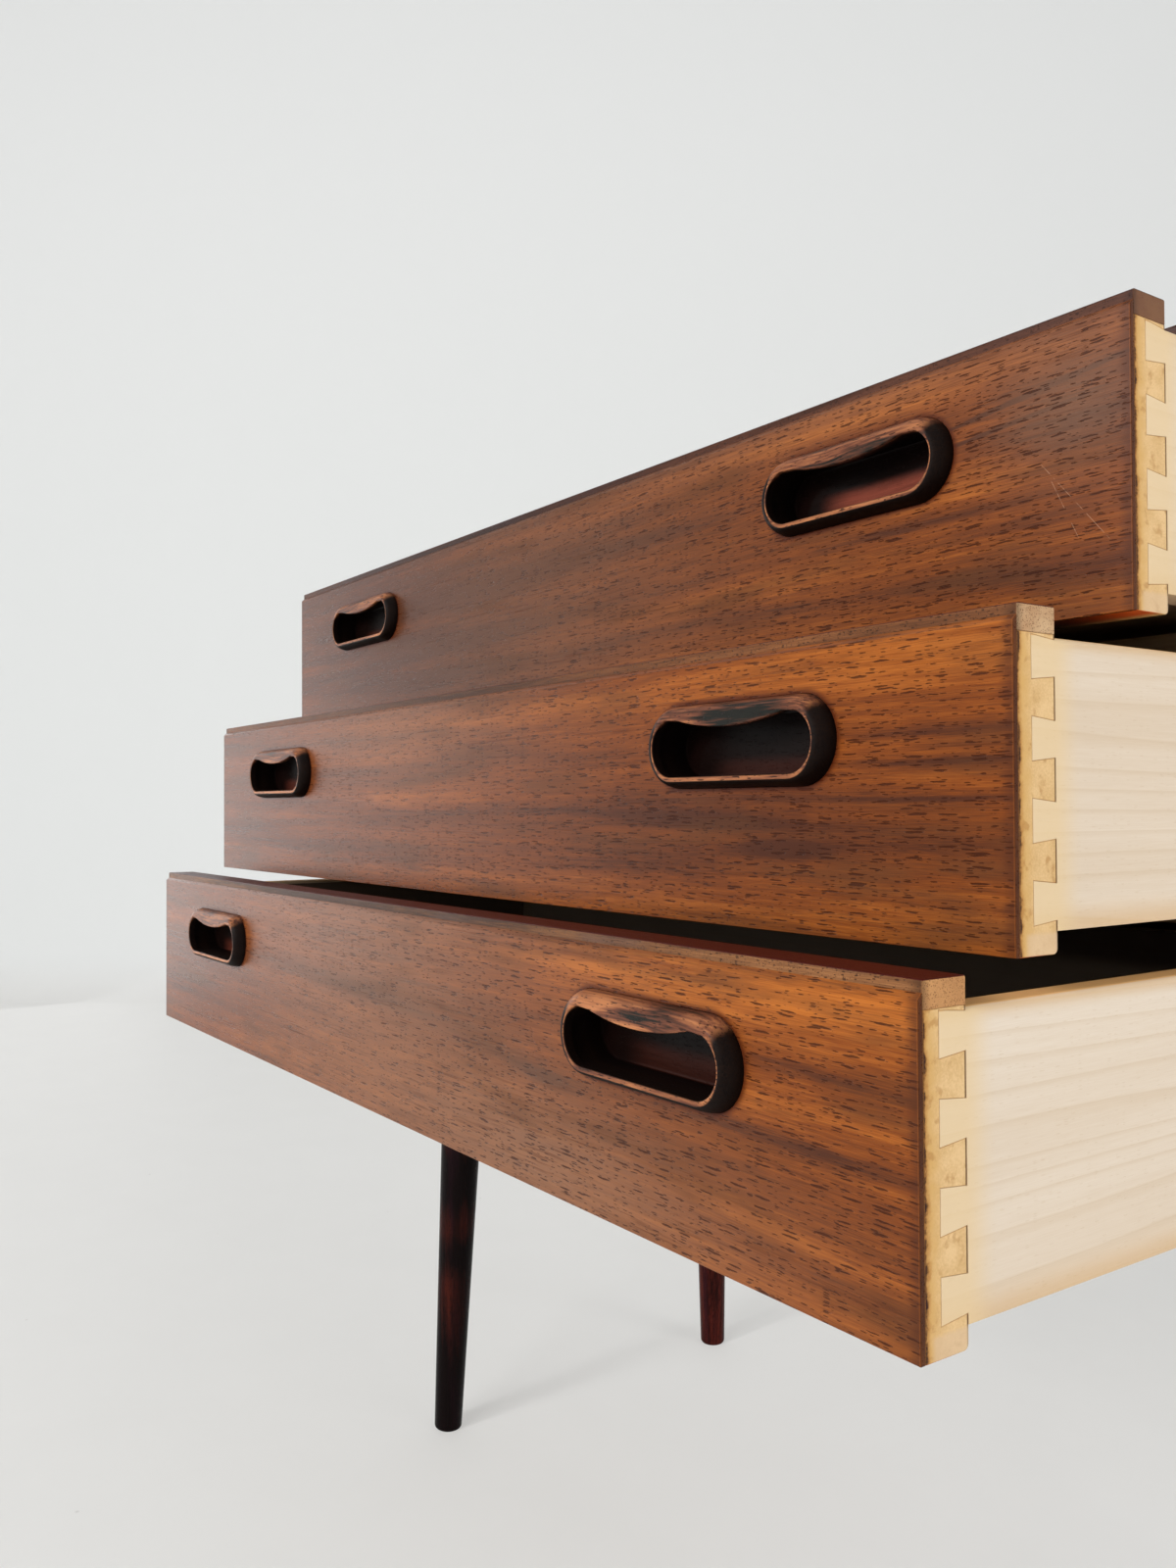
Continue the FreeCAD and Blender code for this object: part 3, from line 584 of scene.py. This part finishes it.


# Streaks of each front: middle along x, height, slope, half width, half length (mm), and strength, which
# is below zero for a darker one. The first, wide one of each front is painted shade over its left part
FRONT_STREAKS_AND_SHADE = {
    "top": [
        # painted shade over the front's left part
        (-250, 60, 0.0, 90, 240, -0.42),
        (20, 55, 0.0, 90, 200, -0.22),
        (-20, 74, 0.0, 7, 190, -0.26),
        (150, 28, 0.01, 16, 150, 0.12),
        (240, 97, 0.0, 7, 110, 0.22),
        (352, 66, 0.05, 12, 34, -0.36),
        (350, 88, 0.0, 12, 60, -0.22),
        (330, 84, 0.12, 0.8, 45, -0.9),
        (318, 75, 0.09, 0.7, 36, -0.7),
        (300, 55, 0.05, 5, 60, 0.26),
        (270, 46, 0.02, 2.2, 60, -0.35),
        (330, 38, 0.02, 3, 50, -0.30),
        (345, 18, 0.0, 9, 60, -0.28),
        (340, 8, 0.0, 3, 50, 0.30),
    ],
    "middle": [
        (-280, 55, 0.0, 90, 220, -0.22),
        (215, 36, 0.0, 20, 120, -0.26),
        (60, 40, 0.0, 26, 130, -0.16),
        (250, 20, 0.0, 3, 60, 0.25),
        (300, 97, 0.0, 8, 170, 0.26),
        (220, 42, -0.02, 4, 60, -0.34),
        (270, 31, 0.0, 3.5, 22, -0.55),
        (340, 35, 0.0, 8, 60, -0.26),
        (-80, 52, 0.0, 6, 130, 0.20),
        (40, 77, -0.01, 4, 60, -0.24),
        (345, 72, 0.0, 2, 40, -0.40),
        (350, 62, 0.01, 1.6, 40, -0.45),
        (340, 56, 0.0, 3, 40, 0.20),
        (338, 50, 0.0, 1.2, 50, -0.40),
        (330, 12, 0.0, 8, 110, 0.18),
    ],
    "bottom": [
        (-300, 55, 0.0, 90, 160, -0.14),
        (290, 96, 0.0, 10, 200, 0.36),
        (60, 58, -0.05, 6, 160, -0.26),
        (170, 48, -0.06, 3, 26, -0.50),
        (320, 52, -0.01, 3, 80, -0.40),
        (300, 62, -0.02, 5, 90, 0.26),
        (330, 76, -0.02, 1.6, 60, -0.30),
        (270, 37, -0.02, 8, 130, -0.22),
        (310, 24, -0.02, 5, 90, 0.18),
        (-60, 20, 0.0, 10, 160, 0.12),
    ],
}
# Scratches from one place to another, along x and up (mm)
SCRATCHES = {"top": [((334, 58), (362, 25)), ((338, 52), (350, 27))]}
# Fading of each front, as its streaks, and on the top front, as the last of its three, a painted sheen at
# its right end
FADED_AND_SHEEN = {
    # the last band here is a painted sheen
    "top": [(0, 55, 0.0, 300, 180, 0.32), (250, 105, 0.0, 14, 150, 0.30), (345, 76, 0.0, 24, 32, 0.42)],
    "middle": [(0, 55, 0.0, 300, 180, 0.06), (-60, 95, 0.0, 30, 160, 0.35)],
    "bottom": [(0, 55, 0.0, 300, 180, 0.50), (190, 10, 0.0, 34, 120, 0.55)],
}
# Streaks of each handle in the same way, from its middle
HANDLE_STREAKS = {
    "top": [(-30, 13, 0.05, 4, 22, 0.22), (0, 13, 0.0, 9, 60, -0.30), (40, 10, 0.0, 6, 8, 0.12)],
    "middle": [(0, 13, 0.0, 9, 60, -0.46), (-24, 15, 0.0, 2, 16, 0.16), (4, 10.0, -0.02, 2.6, 34, -0.40)],
    "bottom": [(-34, 12, 0.05, 5, 16, 0.22), (2, 11.5, 0.12, 3.2, 17, -0.80), (26, 13, -0.1, 8, 20, -0.22)],
    "left": [(0, 13, 0.0, 9, 60, -0.20), (10, -12, 0.0, 5, 40, 0.15)],
}
# Dark foot and rings of the front legs, their height first, and the dark, middle and light of the legs: a
# darker copy for the front legs, as painted shade, and a redder, lighter one for the rear legs, as painted
# light
LEG_STREAKS = [(20, 30, 0.0, 200, 70, -0.9), (150, 30, 0.0, 200, 16, -0.6), (215, 30, 0.0, 200, 26, -0.9)]
LEG_SHADED = ((0.004, 0.002, 0.002), (0.026, 0.0055, 0.004), (0.085, 0.015, 0.008))
LEG_LIT = ((0.014, 0.003, 0.0025), (0.075, 0.011, 0.007), (0.19, 0.028, 0.015))
# Streaks of the lippings, darker at the left
LIPPING_STREAKS = [(-60, 106, 0.0, 60, 240, -0.40)]
# Each lipping's dark, middle and light, and its end grain
LIPPINGS = {
    "top": ((0.022, 0.008, 0.005), (0.062, 0.021, 0.011), (0.125, 0.047, 0.026), (0.20, 0.095, 0.045)),
    "middle": ((0.038, 0.014, 0.006), (0.135, 0.048, 0.016), (0.29, 0.115, 0.038), (0.62, 0.42, 0.24)),
    "bottom": ((0.038, 0.014, 0.006), (0.190, 0.078, 0.028), (0.38, 0.175, 0.068), (0.58, 0.30, 0.12)),
}
# Each pocket's back wall: up to what height it is painted as lit (mm), and how much; above it the pocket is
# painted shade
POCKETS = {"top": (2.5, 1.0), "middle": (-3.0, 0.13), "bottom": (0.0, 0.12), "left": (-2.0, 0.40)}


def make_rosewoods():
    """The dark finishes by name."""
    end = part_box("top_front_facing")[1].x
    made = {}
    for drawer in DRAWERS:
        made["facing_" + drawer] = rosewood(
            "rosewood_facing_" + drawer, *FACING_TONES, FRONT_STREAKS_AND_SHADE[drawer], roughness=0.29, end=end,
            scratches=SCRATCHES.get(drawer, ()), handled=True, faded_and_sheen=FADED_AND_SHEEN[drawer],
        )
        dark, middle, light, end_colour = LIPPINGS[drawer]
        made["lipping_" + drawer] = rosewood(
            "rosewood_lipping_" + drawer, dark, middle, light, LIPPING_STREAKS, figure=0.6,
            pore_size=(2.6, 1.0), pore_share=0.8, pore_colour=dark, roughness=0.42, depth=0.15, end=end,
            end_colour=end_colour, top=FRONT_HEIGHT,
        )
        made["handle_" + drawer] = handle_wood(
            "rosewood_handle_" + drawer, HANDLE_STREAKS[drawer], *POCKETS[drawer]
        )
    made["handle_left"] = handle_wood("rosewood_handle_left", HANDLE_STREAKS["left"], *POCKETS["left"])
    made["case"] = rosewood("rosewood_case", *CASE_TONES)
    made["edging"] = rosewood("rosewood_edging", *EDGING_TONES, pore_size=(7, 0.9))
    for place, colours, streaks in (("front", LEG_SHADED, LEG_STREAKS), ("rear", LEG_LIT, ())):
        made["leg_" + place] = rosewood(
            "rosewood_leg_" + place, *colours, bands=streaks, figure=0.9, pore_size=(10, 0.9),
            pore_colour=colours[0], roughness=0.26, depth=0.05, gloss=0.05,
        )
    return made


def make_pale_woods():
    """The pale finishes by name."""
    low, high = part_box("top_side_right")
    made = {name: pale_wood(name, high.z - low.z, **wood) for name, wood in PALE_WOODS.items()}
    made["core"] = core_wood()
    return made


# Pieces


def lay_grain(mesh, origin, along, offset):
    """Gives each point its place from an origin and its place in the tree, both with the grain's
    direction first."""
    order = {"x": (0, 1, 2), "y": (1, 0, 2), "z": (2, 0, 1)}[along]
    place = mesh.attributes.new("place", "FLOAT_VECTOR", "POINT")
    grain = mesh.attributes.new("grain", "FLOAT_VECTOR", "POINT")
    for vertex, here, there in zip(mesh.vertices, place.data, grain.data):
        local = vertex.co - origin
        turned = Vector([local[axis] for axis in order])
        here.vector = turned
        there.vector = turned + offset


def own_offset(name):
    """A piece's own place in the tree, so that no two boards look alike."""
    draw = random.Random(name)
    return Vector([draw.uniform(0.5, 3.0) for _ in range(3)])


def body_of(node):
    """The CAD body that a node rides on."""
    return next(body for body, nodes in frame["record"]["behaviour"]["bodies"].items() if node in nodes)


def stand_for(node, mesh, material, origin, along, offset=None):
    """Puts a finished mesh in the scene in place of a CAD node."""
    lay_grain(mesh, origin, along, own_offset(node) if offset is None else offset)
    mesh.materials.clear()
    mesh.materials.append(material)
    mesh.shade_smooth()
    mesh.set_sharp_from_angle(angle=CORNER)
    piece = bpy.data.objects.new(node + "_piece", mesh)
    SCENE.collection.objects.link(piece)
    weighted = piece.modifiers.new("Normals", "WEIGHTED_NORMAL")
    weighted.keep_sharp = True
    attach(piece, body_of(node))
    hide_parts(node)
    return piece


def eased_mesh(node, ease):
    """A copy of a CAD node's mesh with its corners eased."""
    bm = bmesh.new()
    bm.from_mesh(frame["nodes"][node].data)
    corner = bm.faces.layers.float.new("corner")
    bmesh.ops.remove_doubles(bm, verts=bm.verts, dist=SAME_POINT)
    bmesh.ops.dissolve_limit(bm, angle_limit=math.radians(0.2), verts=bm.verts, edges=bm.edges)
    corners = [e for e in bm.edges if len(e.link_faces) == 2 and e.calc_face_angle() > CORNER]
    if ease:
        options = {"segments": 2, "profile": 0.5, "affect": "EDGES", "clamp_overlap": True}
        made = bmesh.ops.bevel(bm, geom=corners, offset=ease, **options)
        for face in made["faces"]:
            face[corner] = 1.0
    mesh = bpy.data.meshes.new(node + "_piece")
    bm.to_mesh(mesh)
    bm.free()
    return mesh


def make_leg(node, material):
    """A turned leg with its foot's edge rounded."""
    bm = bmesh.new()
    bm.from_mesh(frame["nodes"][node].data)
    bmesh.ops.remove_doubles(bm, verts=bm.verts, dist=SAME_POINT)
    rim = [e for e in bm.edges if all(v.co.z < 0.3 * MM for v in e.verts) and e.calc_face_angle(0) > 0.5]
    options = {"segments": 4, "profile": 0.5, "affect": "EDGES", "clamp_overlap": True}
    bmesh.ops.bevel(bm, geom=rim, offset=FOOT_ROUNDING, **options)
    mesh = bpy.data.meshes.new(node + "_piece")
    bm.to_mesh(mesh)
    bm.free()
    return stand_for(node, mesh, material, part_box(node)[0], "z")


def eased(node, ease, material, along="x", origin=None, offset=None):
    """A board that stands for a CAD node, its corners eased."""
    mesh = eased_mesh(node, ease * MM)
    return stand_for(node, mesh, material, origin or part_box(node)[0], along, offset)


def stadium(length, height, x, y, z):
    """Points of a closed outline of two straight runs and two half circles."""
    straight, turn = OUTLINE_STEPS
    radius = height / 2
    run = length / 2 - radius
    points = [Vector((x - run + 2 * run * s / straight, y, z - radius)) for s in range(straight)]
    arc = [math.pi * s / turn - math.pi / 2 for s in range(turn)]
    points += [Vector((x + run + radius * math.cos(a), y, z + radius * math.sin(a))) for a in arc]
    points += [Vector((x + run - 2 * run * s / straight, y, z + radius)) for s in range(straight)]
    points += [Vector((x - run - radius * math.cos(a), y, z - radius * math.sin(a))) for a in arc]
    return points


def mouth(grow, x, y, low):
    """Points of the handle's opening, whose upper lip dips in the middle, grown evenly."""
    straight, turn = OUTLINE_STEPS
    radius = MOUTH_HEIGHT / 2
    run = MOUTH_LENGTH / 2 - radius
    middle = low + radius
    dip = radius - MOUTH_DIP
    dip_radius = (run**2 + dip**2 - radius**2) / (2 * MOUTH_DIP)
    share = radius / (dip_radius + radius)
    centre_z = middle + dip + dip_radius
    radius += grow
    dip_radius -= grow
    lean = math.asin(run / (dip_radius + radius))
    points = [Vector((x - run + 2 * run * s / straight, y, middle - radius)) for s in range(straight)]
    sweep = math.pi - lean
    arc = [sweep * s / turn - math.pi / 2 for s in range(turn)]
    points += [Vector((x + run + radius * math.cos(a), y, middle + radius * math.sin(a))) for a in arc]
    dips = [lean * (1 - 2 * s / straight) for s in range(straight)]
    points += [Vector((x + dip_radius * math.sin(a), y, centre_z - dip_radius * math.cos(a))) for a in dips]
    back = [sweep * (1 - s / turn) - math.pi / 2 for s in range(turn)]
    points += [Vector((x - run - radius * math.cos(a), y, middle + radius * math.sin(a))) for a in back]
    return points


def outer_rings(x, y, z):
    """The handle's outline from the plug's back over the rim to its crest. With each goes how much painted
    shade it gets at the handle's ends, and along its upper and lower edges."""
    chamfer = 0.3 * MM
    back = y + HANDLE_DEPTH
    rings = [
        (stadium(HANDLE_LENGTH - 2 * chamfer, HANDLE_HEIGHT - 2 * chamfer, x, back, z), 1, 1),
        (stadium(HANDLE_LENGTH, HANDLE_HEIGHT, x, back - chamfer, z), 1, 1),
    ]
    steps, fullness = 12, 1.8
    for step in range(steps + 1):
        share = math.sin(math.pi / 2 * step / steps)
        inward = 1 - (1 - share**fullness) ** (1 / fullness)
        length = HANDLE_LENGTH + (RIM_LENGTH - HANDLE_LENGTH) * inward
        height = HANDLE_HEIGHT + (RIM_HEIGHT - HANDLE_HEIGHT) * inward
        ring = stadium(length, height, x, y - RIM_PROUD * share, z - RIM_DROP * inward)
        rings.append((ring, 1, min(1, (steps - step) * 0.45)))
    return rings


def inner_rings(x, y, z):
    """The handle's mouth, round the lip's edge and in to the pocket's back wall, in the same way."""
    low = z - RIM_DROP - RIM_HEIGHT / 2 + LOWER_LAND
    crest = y - RIM_PROUD
    edge, steps = 0.7 * MM, 4
    rings = []
    for step in range(steps + 1):
        angle = math.pi / 2 * step / steps
        ring = mouth(edge * (1 - math.sin(angle)), x, crest + edge * (1 - math.cos(angle)), low)
        rings.append((ring, 0.25 * step, 0.2 * step))
    rings.append((mouth(0, x, crest + LIP_THICKNESS, low), 1, 1))
    height = MOUTH_HEIGHT + POCKET_UNDERCUT
    length = MOUTH_LENGTH + 2 * POCKET_UNDERCUT
    wall = y + POCKET_DEPTH
    for less, depth, dark in (
        (0, crest + LIP_THICKNESS, 1), (0, wall - 1.5 * MM, 0.8),
        (1 * MM, wall - 0.4 * MM, 0), (3 * MM, wall, 0),
    ):
        ring = stadium(length - less, height - less, x, depth, low + height / 2)
        rings.append((ring, dark, dark))
    return rings


def handle_mesh(x, y, z, name):
    """A finger handle, with how much painted shade each point gets: the crest, the lip and the upper side
    are left light, and the flanks and the lower side shaded."""
    rings = outer_rings(x, y, z) + inner_rings(x, y, z)
    mesh = lofted([ring for ring, at_end, at_edge in rings], name)
    shaded = mesh.attributes.new("shaded", "FLOAT", "POINT")
    run = (HANDLE_LENGTH - HANDLE_HEIGHT) / 2
    pocket_rings = 5
    for index, vertex in enumerate(mesh.vertices):
        number = index // len(rings[0][0])
        _, at_end, at_edge = rings[number]
        across = vertex.co.x - x
        away = Vector((across - max(-run, min(run, across)), vertex.co.z - z)).normalized()
        level = away.x**2
        value = at_end * level + at_edge * (1 - level)
        in_pocket = number >= len(rings) - pocket_rings
        # the upper side, the crest and the lip are left out of the painted shade
        unshaded = 0.0 if in_pocket else max(0.0, min(1.0, (away.y - 0.50) / 0.45))
        shaded.data[index].value = value * (1 - unshaded)
    return mesh


def mark_inside(piece, centre):
    """Marks the large faces that look towards a drawer's middle."""
    least_distance, least_area = 0.02, 0.003
    inside = piece.data.attributes.new("inside", "FLOAT", "FACE")
    for face, value in zip(piece.data.polygons, inside.data):
        outward = Vector((face.normal.x, face.normal.y, max(0.0, face.normal.z)))
        looks_in = outward.dot(centre - face.center) > least_distance
        value.value = float(looks_in and face.area > least_area)


def lofted(rings, name):
    """A closed mesh through rings of points, capped at both ends."""
    bm = bmesh.new()
    loops = [[bm.verts.new(p) for p in ring] for ring in rings]
    for a, b in zip(loops, loops[1:]):
        for i in range(len(a)):
            j = (i + 1) % len(a)
            bm.faces.new((a[i], a[j], b[j], b[i]))
    bm.faces.new(loops[0])
    bm.faces.new(loops[-1])
    bmesh.ops.recalc_face_normals(bm, faces=bm.faces)
    mesh = bpy.data.meshes.new(name)
    bm.to_mesh(mesh)
    bm.free()
    return mesh


def make_drawer(drawer, materials):
    """The pieces of one drawer. The facings are leaves of one veneer."""
    low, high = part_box(drawer + "_front_facing")
    corner = Vector((0, low.y, low.z))
    along, across, up = VENEER_PLACE
    leaf = Vector((along, across + LEAF_STEP * DRAWERS.index(drawer), up))
    facing, lipping = materials["facing_" + drawer], materials["lipping_" + drawer]
    eased(drawer + "_front_facing", 0.25, facing, "x", corner, leaf)
    eased(drawer + "_front_lipping", 0.25, lipping, "x", corner)
    eased(drawer + "_front_core", 0.3, materials["core"], "x", corner)
    back_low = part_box(drawer + "_back")[0]
    inside = Vector((0, (low.y + back_low.y) / 2, (low.z + high.z) / 2))
    for side in ("left", "right"):
        mark_inside(eased(f"{drawer}_side_{side}", 0.3, materials["maple"], "y"), inside)
        node = f"{drawer}_handle_{side}"
        first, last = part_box(node)
        middle = (first + last) / 2
        centre = Vector((middle.x, first.y + RIM_PROUD, middle.z))
        mesh = handle_mesh(*centre, node + "_piece")
        wood = materials["handle_" + (drawer if side == "right" else "left")]
        stand_for(node, mesh, wood, centre, "x")
    mark_inside(eased(drawer + "_back", 0.4, materials["maple"]), inside)
    mark_inside(eased(drawer + "_bottom", 0.2, materials["drawer_plywood"]), inside)
    eased(drawer + "_bottom_screws", 0, materials["steel"])


def make_case(materials):
    """The pieces of the case and the legs."""
    for side, along in (("top", "x"), ("bottom", "x"), ("side_left", "z"), ("side_right", "z")):
        eased("case_" + side, 0.3, materials["case"], along)
        eased("edging_" + side, 0.2, materials["edging"], along)
    eased("case_back", 0.2, materials["back_panel"])
    for name in ("lower", "upper"):
        eased(name + "_rail", 0.5, materials["runner_wood"])
    for name in ("lower_runner", "upper_runner", "bottom_runner", "top_kicker"):
        for side in ("left", "right"):
            eased(f"{name}_{side}", 0.5, materials["runner_wood"], "y")
    for place in ("front_left", "front_right", "rear_left", "rear_right"):
        make_leg("leg_" + place, materials["leg_" + place.split("_")[0]])
        eased("leg_plate_" + place, 0.3, materials["steel"])
    for name in ("back_screws", "plate_screws", "leg_bolts"):
        eased(name, 0, materials["steel"])


# Room and light


def seen_directly(tree):
    """1 for what the camera sees, also mirrored or through something clear, and 0 for what lights the
    object."""
    rays = tree.nodes.new("ShaderNodeLightPath").outputs
    share = rays["Is Camera Ray"]
    for kind in ("Is Glossy Ray", "Is Transmission Ray"):
        larger = tree.nodes.new("ShaderNodeMath")
        larger.operation = "MAXIMUM"
        tree.links.new(share, larger.inputs[0])
        tree.links.new(rays[kind], larger.inputs[1])
        share = larger.outputs[0]
    return share


def towards(g, place, heading):
    """How far a place lies along a heading on the floor, given by its x and y."""
    x = g.math("MULTIPLY", g.part(place, 0), heading[0])
    y = g.math("MULTIPLY", g.part(place, 1), heading[1])
    return g.math("ADD", x, y)


def room_plaster():
    """A pale matt surface that the camera and reflections see a little brighter than its shadows make it.
    The floor is warmer, faintly mottled and specked, and painted a little brighter far off and at the
    right, as lit."""
    g = Graph("room_plaster")
    place = g.add("TexCoord", output="Object")
    wall = g.smooth(g.part(place, 2), 0.0, 0.12)
    mottled = g.noise(g.vector("MULTIPLY", place, (9.0, 9.0, 9.0)), detail=6.0, roughness=0.65)
    # painted light: the floor brighter far off and at the right
    far = g.smooth(towards(g, place, (-0.82, 0.57)), -0.5, 1.2, 0.0, 0.05)
    right = g.smooth(towards(g, place, (0.57, 0.82)), 0.0, 0.6, 0.0, 0.05)
    light = g.math("ADD", g.scaled(mottled, 0.035, 0.735), g.math("MAXIMUM", far, right))
    spots = g.add("TexVoronoi", {"Vector": place, "Scale": 24.0}, output="Distance")
    rare = g.math("GREATER_THAN", g.part(spots.node.outputs["Color"], 1), 0.86)
    speck = g.math("MULTIPLY", g.smooth(spots, 0.015, 0.06, 0.4, 0.0), rare)
    green, blue = g.math("SUBTRACT", light, 0.004), g.math("SUBTRACT", light, 0.025)
    floor = g.add("CombineColor", {0: light, 1: green, 2: blue})
    floor = g.blend(speck, floor, FLOOR_SPECK)
    tint = g.blend(wall, g.blend(0.25, floor, (1.0, 1.0, 1.0)), WALL)
    matt = g.add("BsdfPrincipled", {"Base Color": tint, "Roughness": 0.6, "Specular IOR Level": 0.2})
    height = g.smooth(g.part(place, 2), 0.9, 2.6)
    wall_seen = g.blend(height, *WALL_SEEN)
    own = g.add("Emission", {"Color": g.blend(wall, floor, wall_seen), "Strength": 1.0})
    seen = g.math("MULTIPLY", seen_directly(g.tree), 0.5)
    return g.finish(g.add("MixShader", {0: seen, 1: matt, 2: own}))


def make_room(eye, ahead):
    """A pale floor that turns up into a wall behind the chest."""
    distance, radius, height, half = 3.56, 0.16, 5.0, 8.0
    behind_camera = 6.0
    level = Vector((ahead.x, ahead.y, 0)).normalized()
    across = Vector((level.y, -level.x, 0))
    foot = Vector((eye.x, eye.y, 0))
    bend = distance - radius
    steps = 16
    angles = [math.pi / 2 * step / steps for step in range(1, steps + 1)]
    profile = [(-behind_camera, 0.0), (bend - 0.3, 0.0), (bend - 0.1, 0.0), (bend, 0.0)]
    profile += [(bend + radius * math.sin(a), radius - radius * math.cos(a)) for a in angles]
    profile += [(distance, radius + 0.02), (distance, height)]
    bm = bmesh.new()
    rows = []
    for away, up in profile:
        middle = foot + level * away + Vector((0, 0, up))
        rows.append([bm.verts.new(middle + across * side) for side in (-half, half)])
    for a, b in zip(rows, rows[1:]):
        bm.faces.new((a[0], a[1], b[1], b[0]))
    mesh = bpy.data.meshes.new("Room")
    bm.to_mesh(mesh)
    bm.free()
    mesh.shade_smooth()
    mesh.materials.append(room_plaster())
    room = bpy.data.objects.new("Room", mesh)
    SCENE.collection.objects.link(room)


def softbox(name, place, target, width, height, power, lights=True, reflected=True):
    """A rectangular lamp aimed at a point, unseen by the camera, that lights, is reflected, or both."""
    lamp = bpy.data.lights.new(name, "AREA")
    lamp.shape = "RECTANGLE"
    lamp.size = width
    lamp.size_y = height
    lamp.energy = power
    held = bpy.data.objects.new(name, lamp)
    held.location = place
    held.rotation_euler = (Vector(target) - Vector(place)).to_track_quat("-Z", "Y").to_euler()
    held.visible_camera = False
    held.visible_diffuse = lights
    held.visible_glossy = reflected
    SCENE.collection.objects.link(held)


def make_light():
    """Soft daylight from the front and above, and from the right onto the drawers' sides, without
    reflections. The fronts mirror a bright window at the left, with a curtain and a sill beside it, and
    their right ends a weaker one in front. These four light nothing."""
    softbox("Key", (0.6, -3.3, 1.6), (0.1, 0, 0.45), 2.2, 1.5, 94, reflected=False)
    softbox("Low", (0.1, -3.4, 1.75), (-0.2, 0, 0.3), 0.45, 0.45, 36, reflected=False)
    softbox("Side", (2.9, 0.7, 1.5), (0.3, 0, 0.5), 2.0, 1.8, 50, reflected=False)
    softbox("Window", (-3.0, 0.15, 0.72), (0, 0.15, 0.72), 3.0, 1.8, 33, lights=False)
    softbox("Curtain", (-3.0, -1.85, 0.48), (0, -1.85, 0.48), 1.0, 0.85, 3.8, lights=False)
    softbox("Sill", (-3.0, -1.6, 0.2), (0, -1.6, 0.2), 0.8, 0.3, 4.6, lights=False)
    softbox("Front", (-1.08, -3.79, 1.9), (0.40, -0.16, 0.67), 0.45, 0.45, 54, lights=False)


def make_world():
    """An even, weak light from all round, seen as a pale background."""
    world = bpy.data.worlds.new("World")
    SCENE.world = world
    world.use_nodes = True
    tree = world.node_tree
    tree.nodes.clear()
    kinds = ("Background", "Background", "MixShader", "OutputWorld")
    lit, seen, mixed, out = (tree.nodes.new("ShaderNode" + kind) for kind in kinds)
    lit.inputs["Strength"].default_value = WORLD_STRENGTH
    lit.inputs["Color"].default_value = (1, 1, 1, 1)
    seen.inputs["Color"].default_value = WORLD_SEEN
    tree.links.new(seen_directly(tree), mixed.inputs[0])
    tree.links.new(lit.outputs[0], mixed.inputs[1])
    tree.links.new(seen.outputs[0], mixed.inputs[2])
    tree.links.new(mixed.outputs[0], out.inputs["Surface"])


EYE, AHEAD = camera()
make_room(EYE, AHEAD)
make_light()
make_world()
FINISHES = {**make_rosewoods(), **make_pale_woods(), "steel": steel()}
for drawer_name in DRAWERS:
    make_drawer(drawer_name, FINISHES)
make_case(FINISHES)
SCENE.view_settings.view_transform = "Standard"
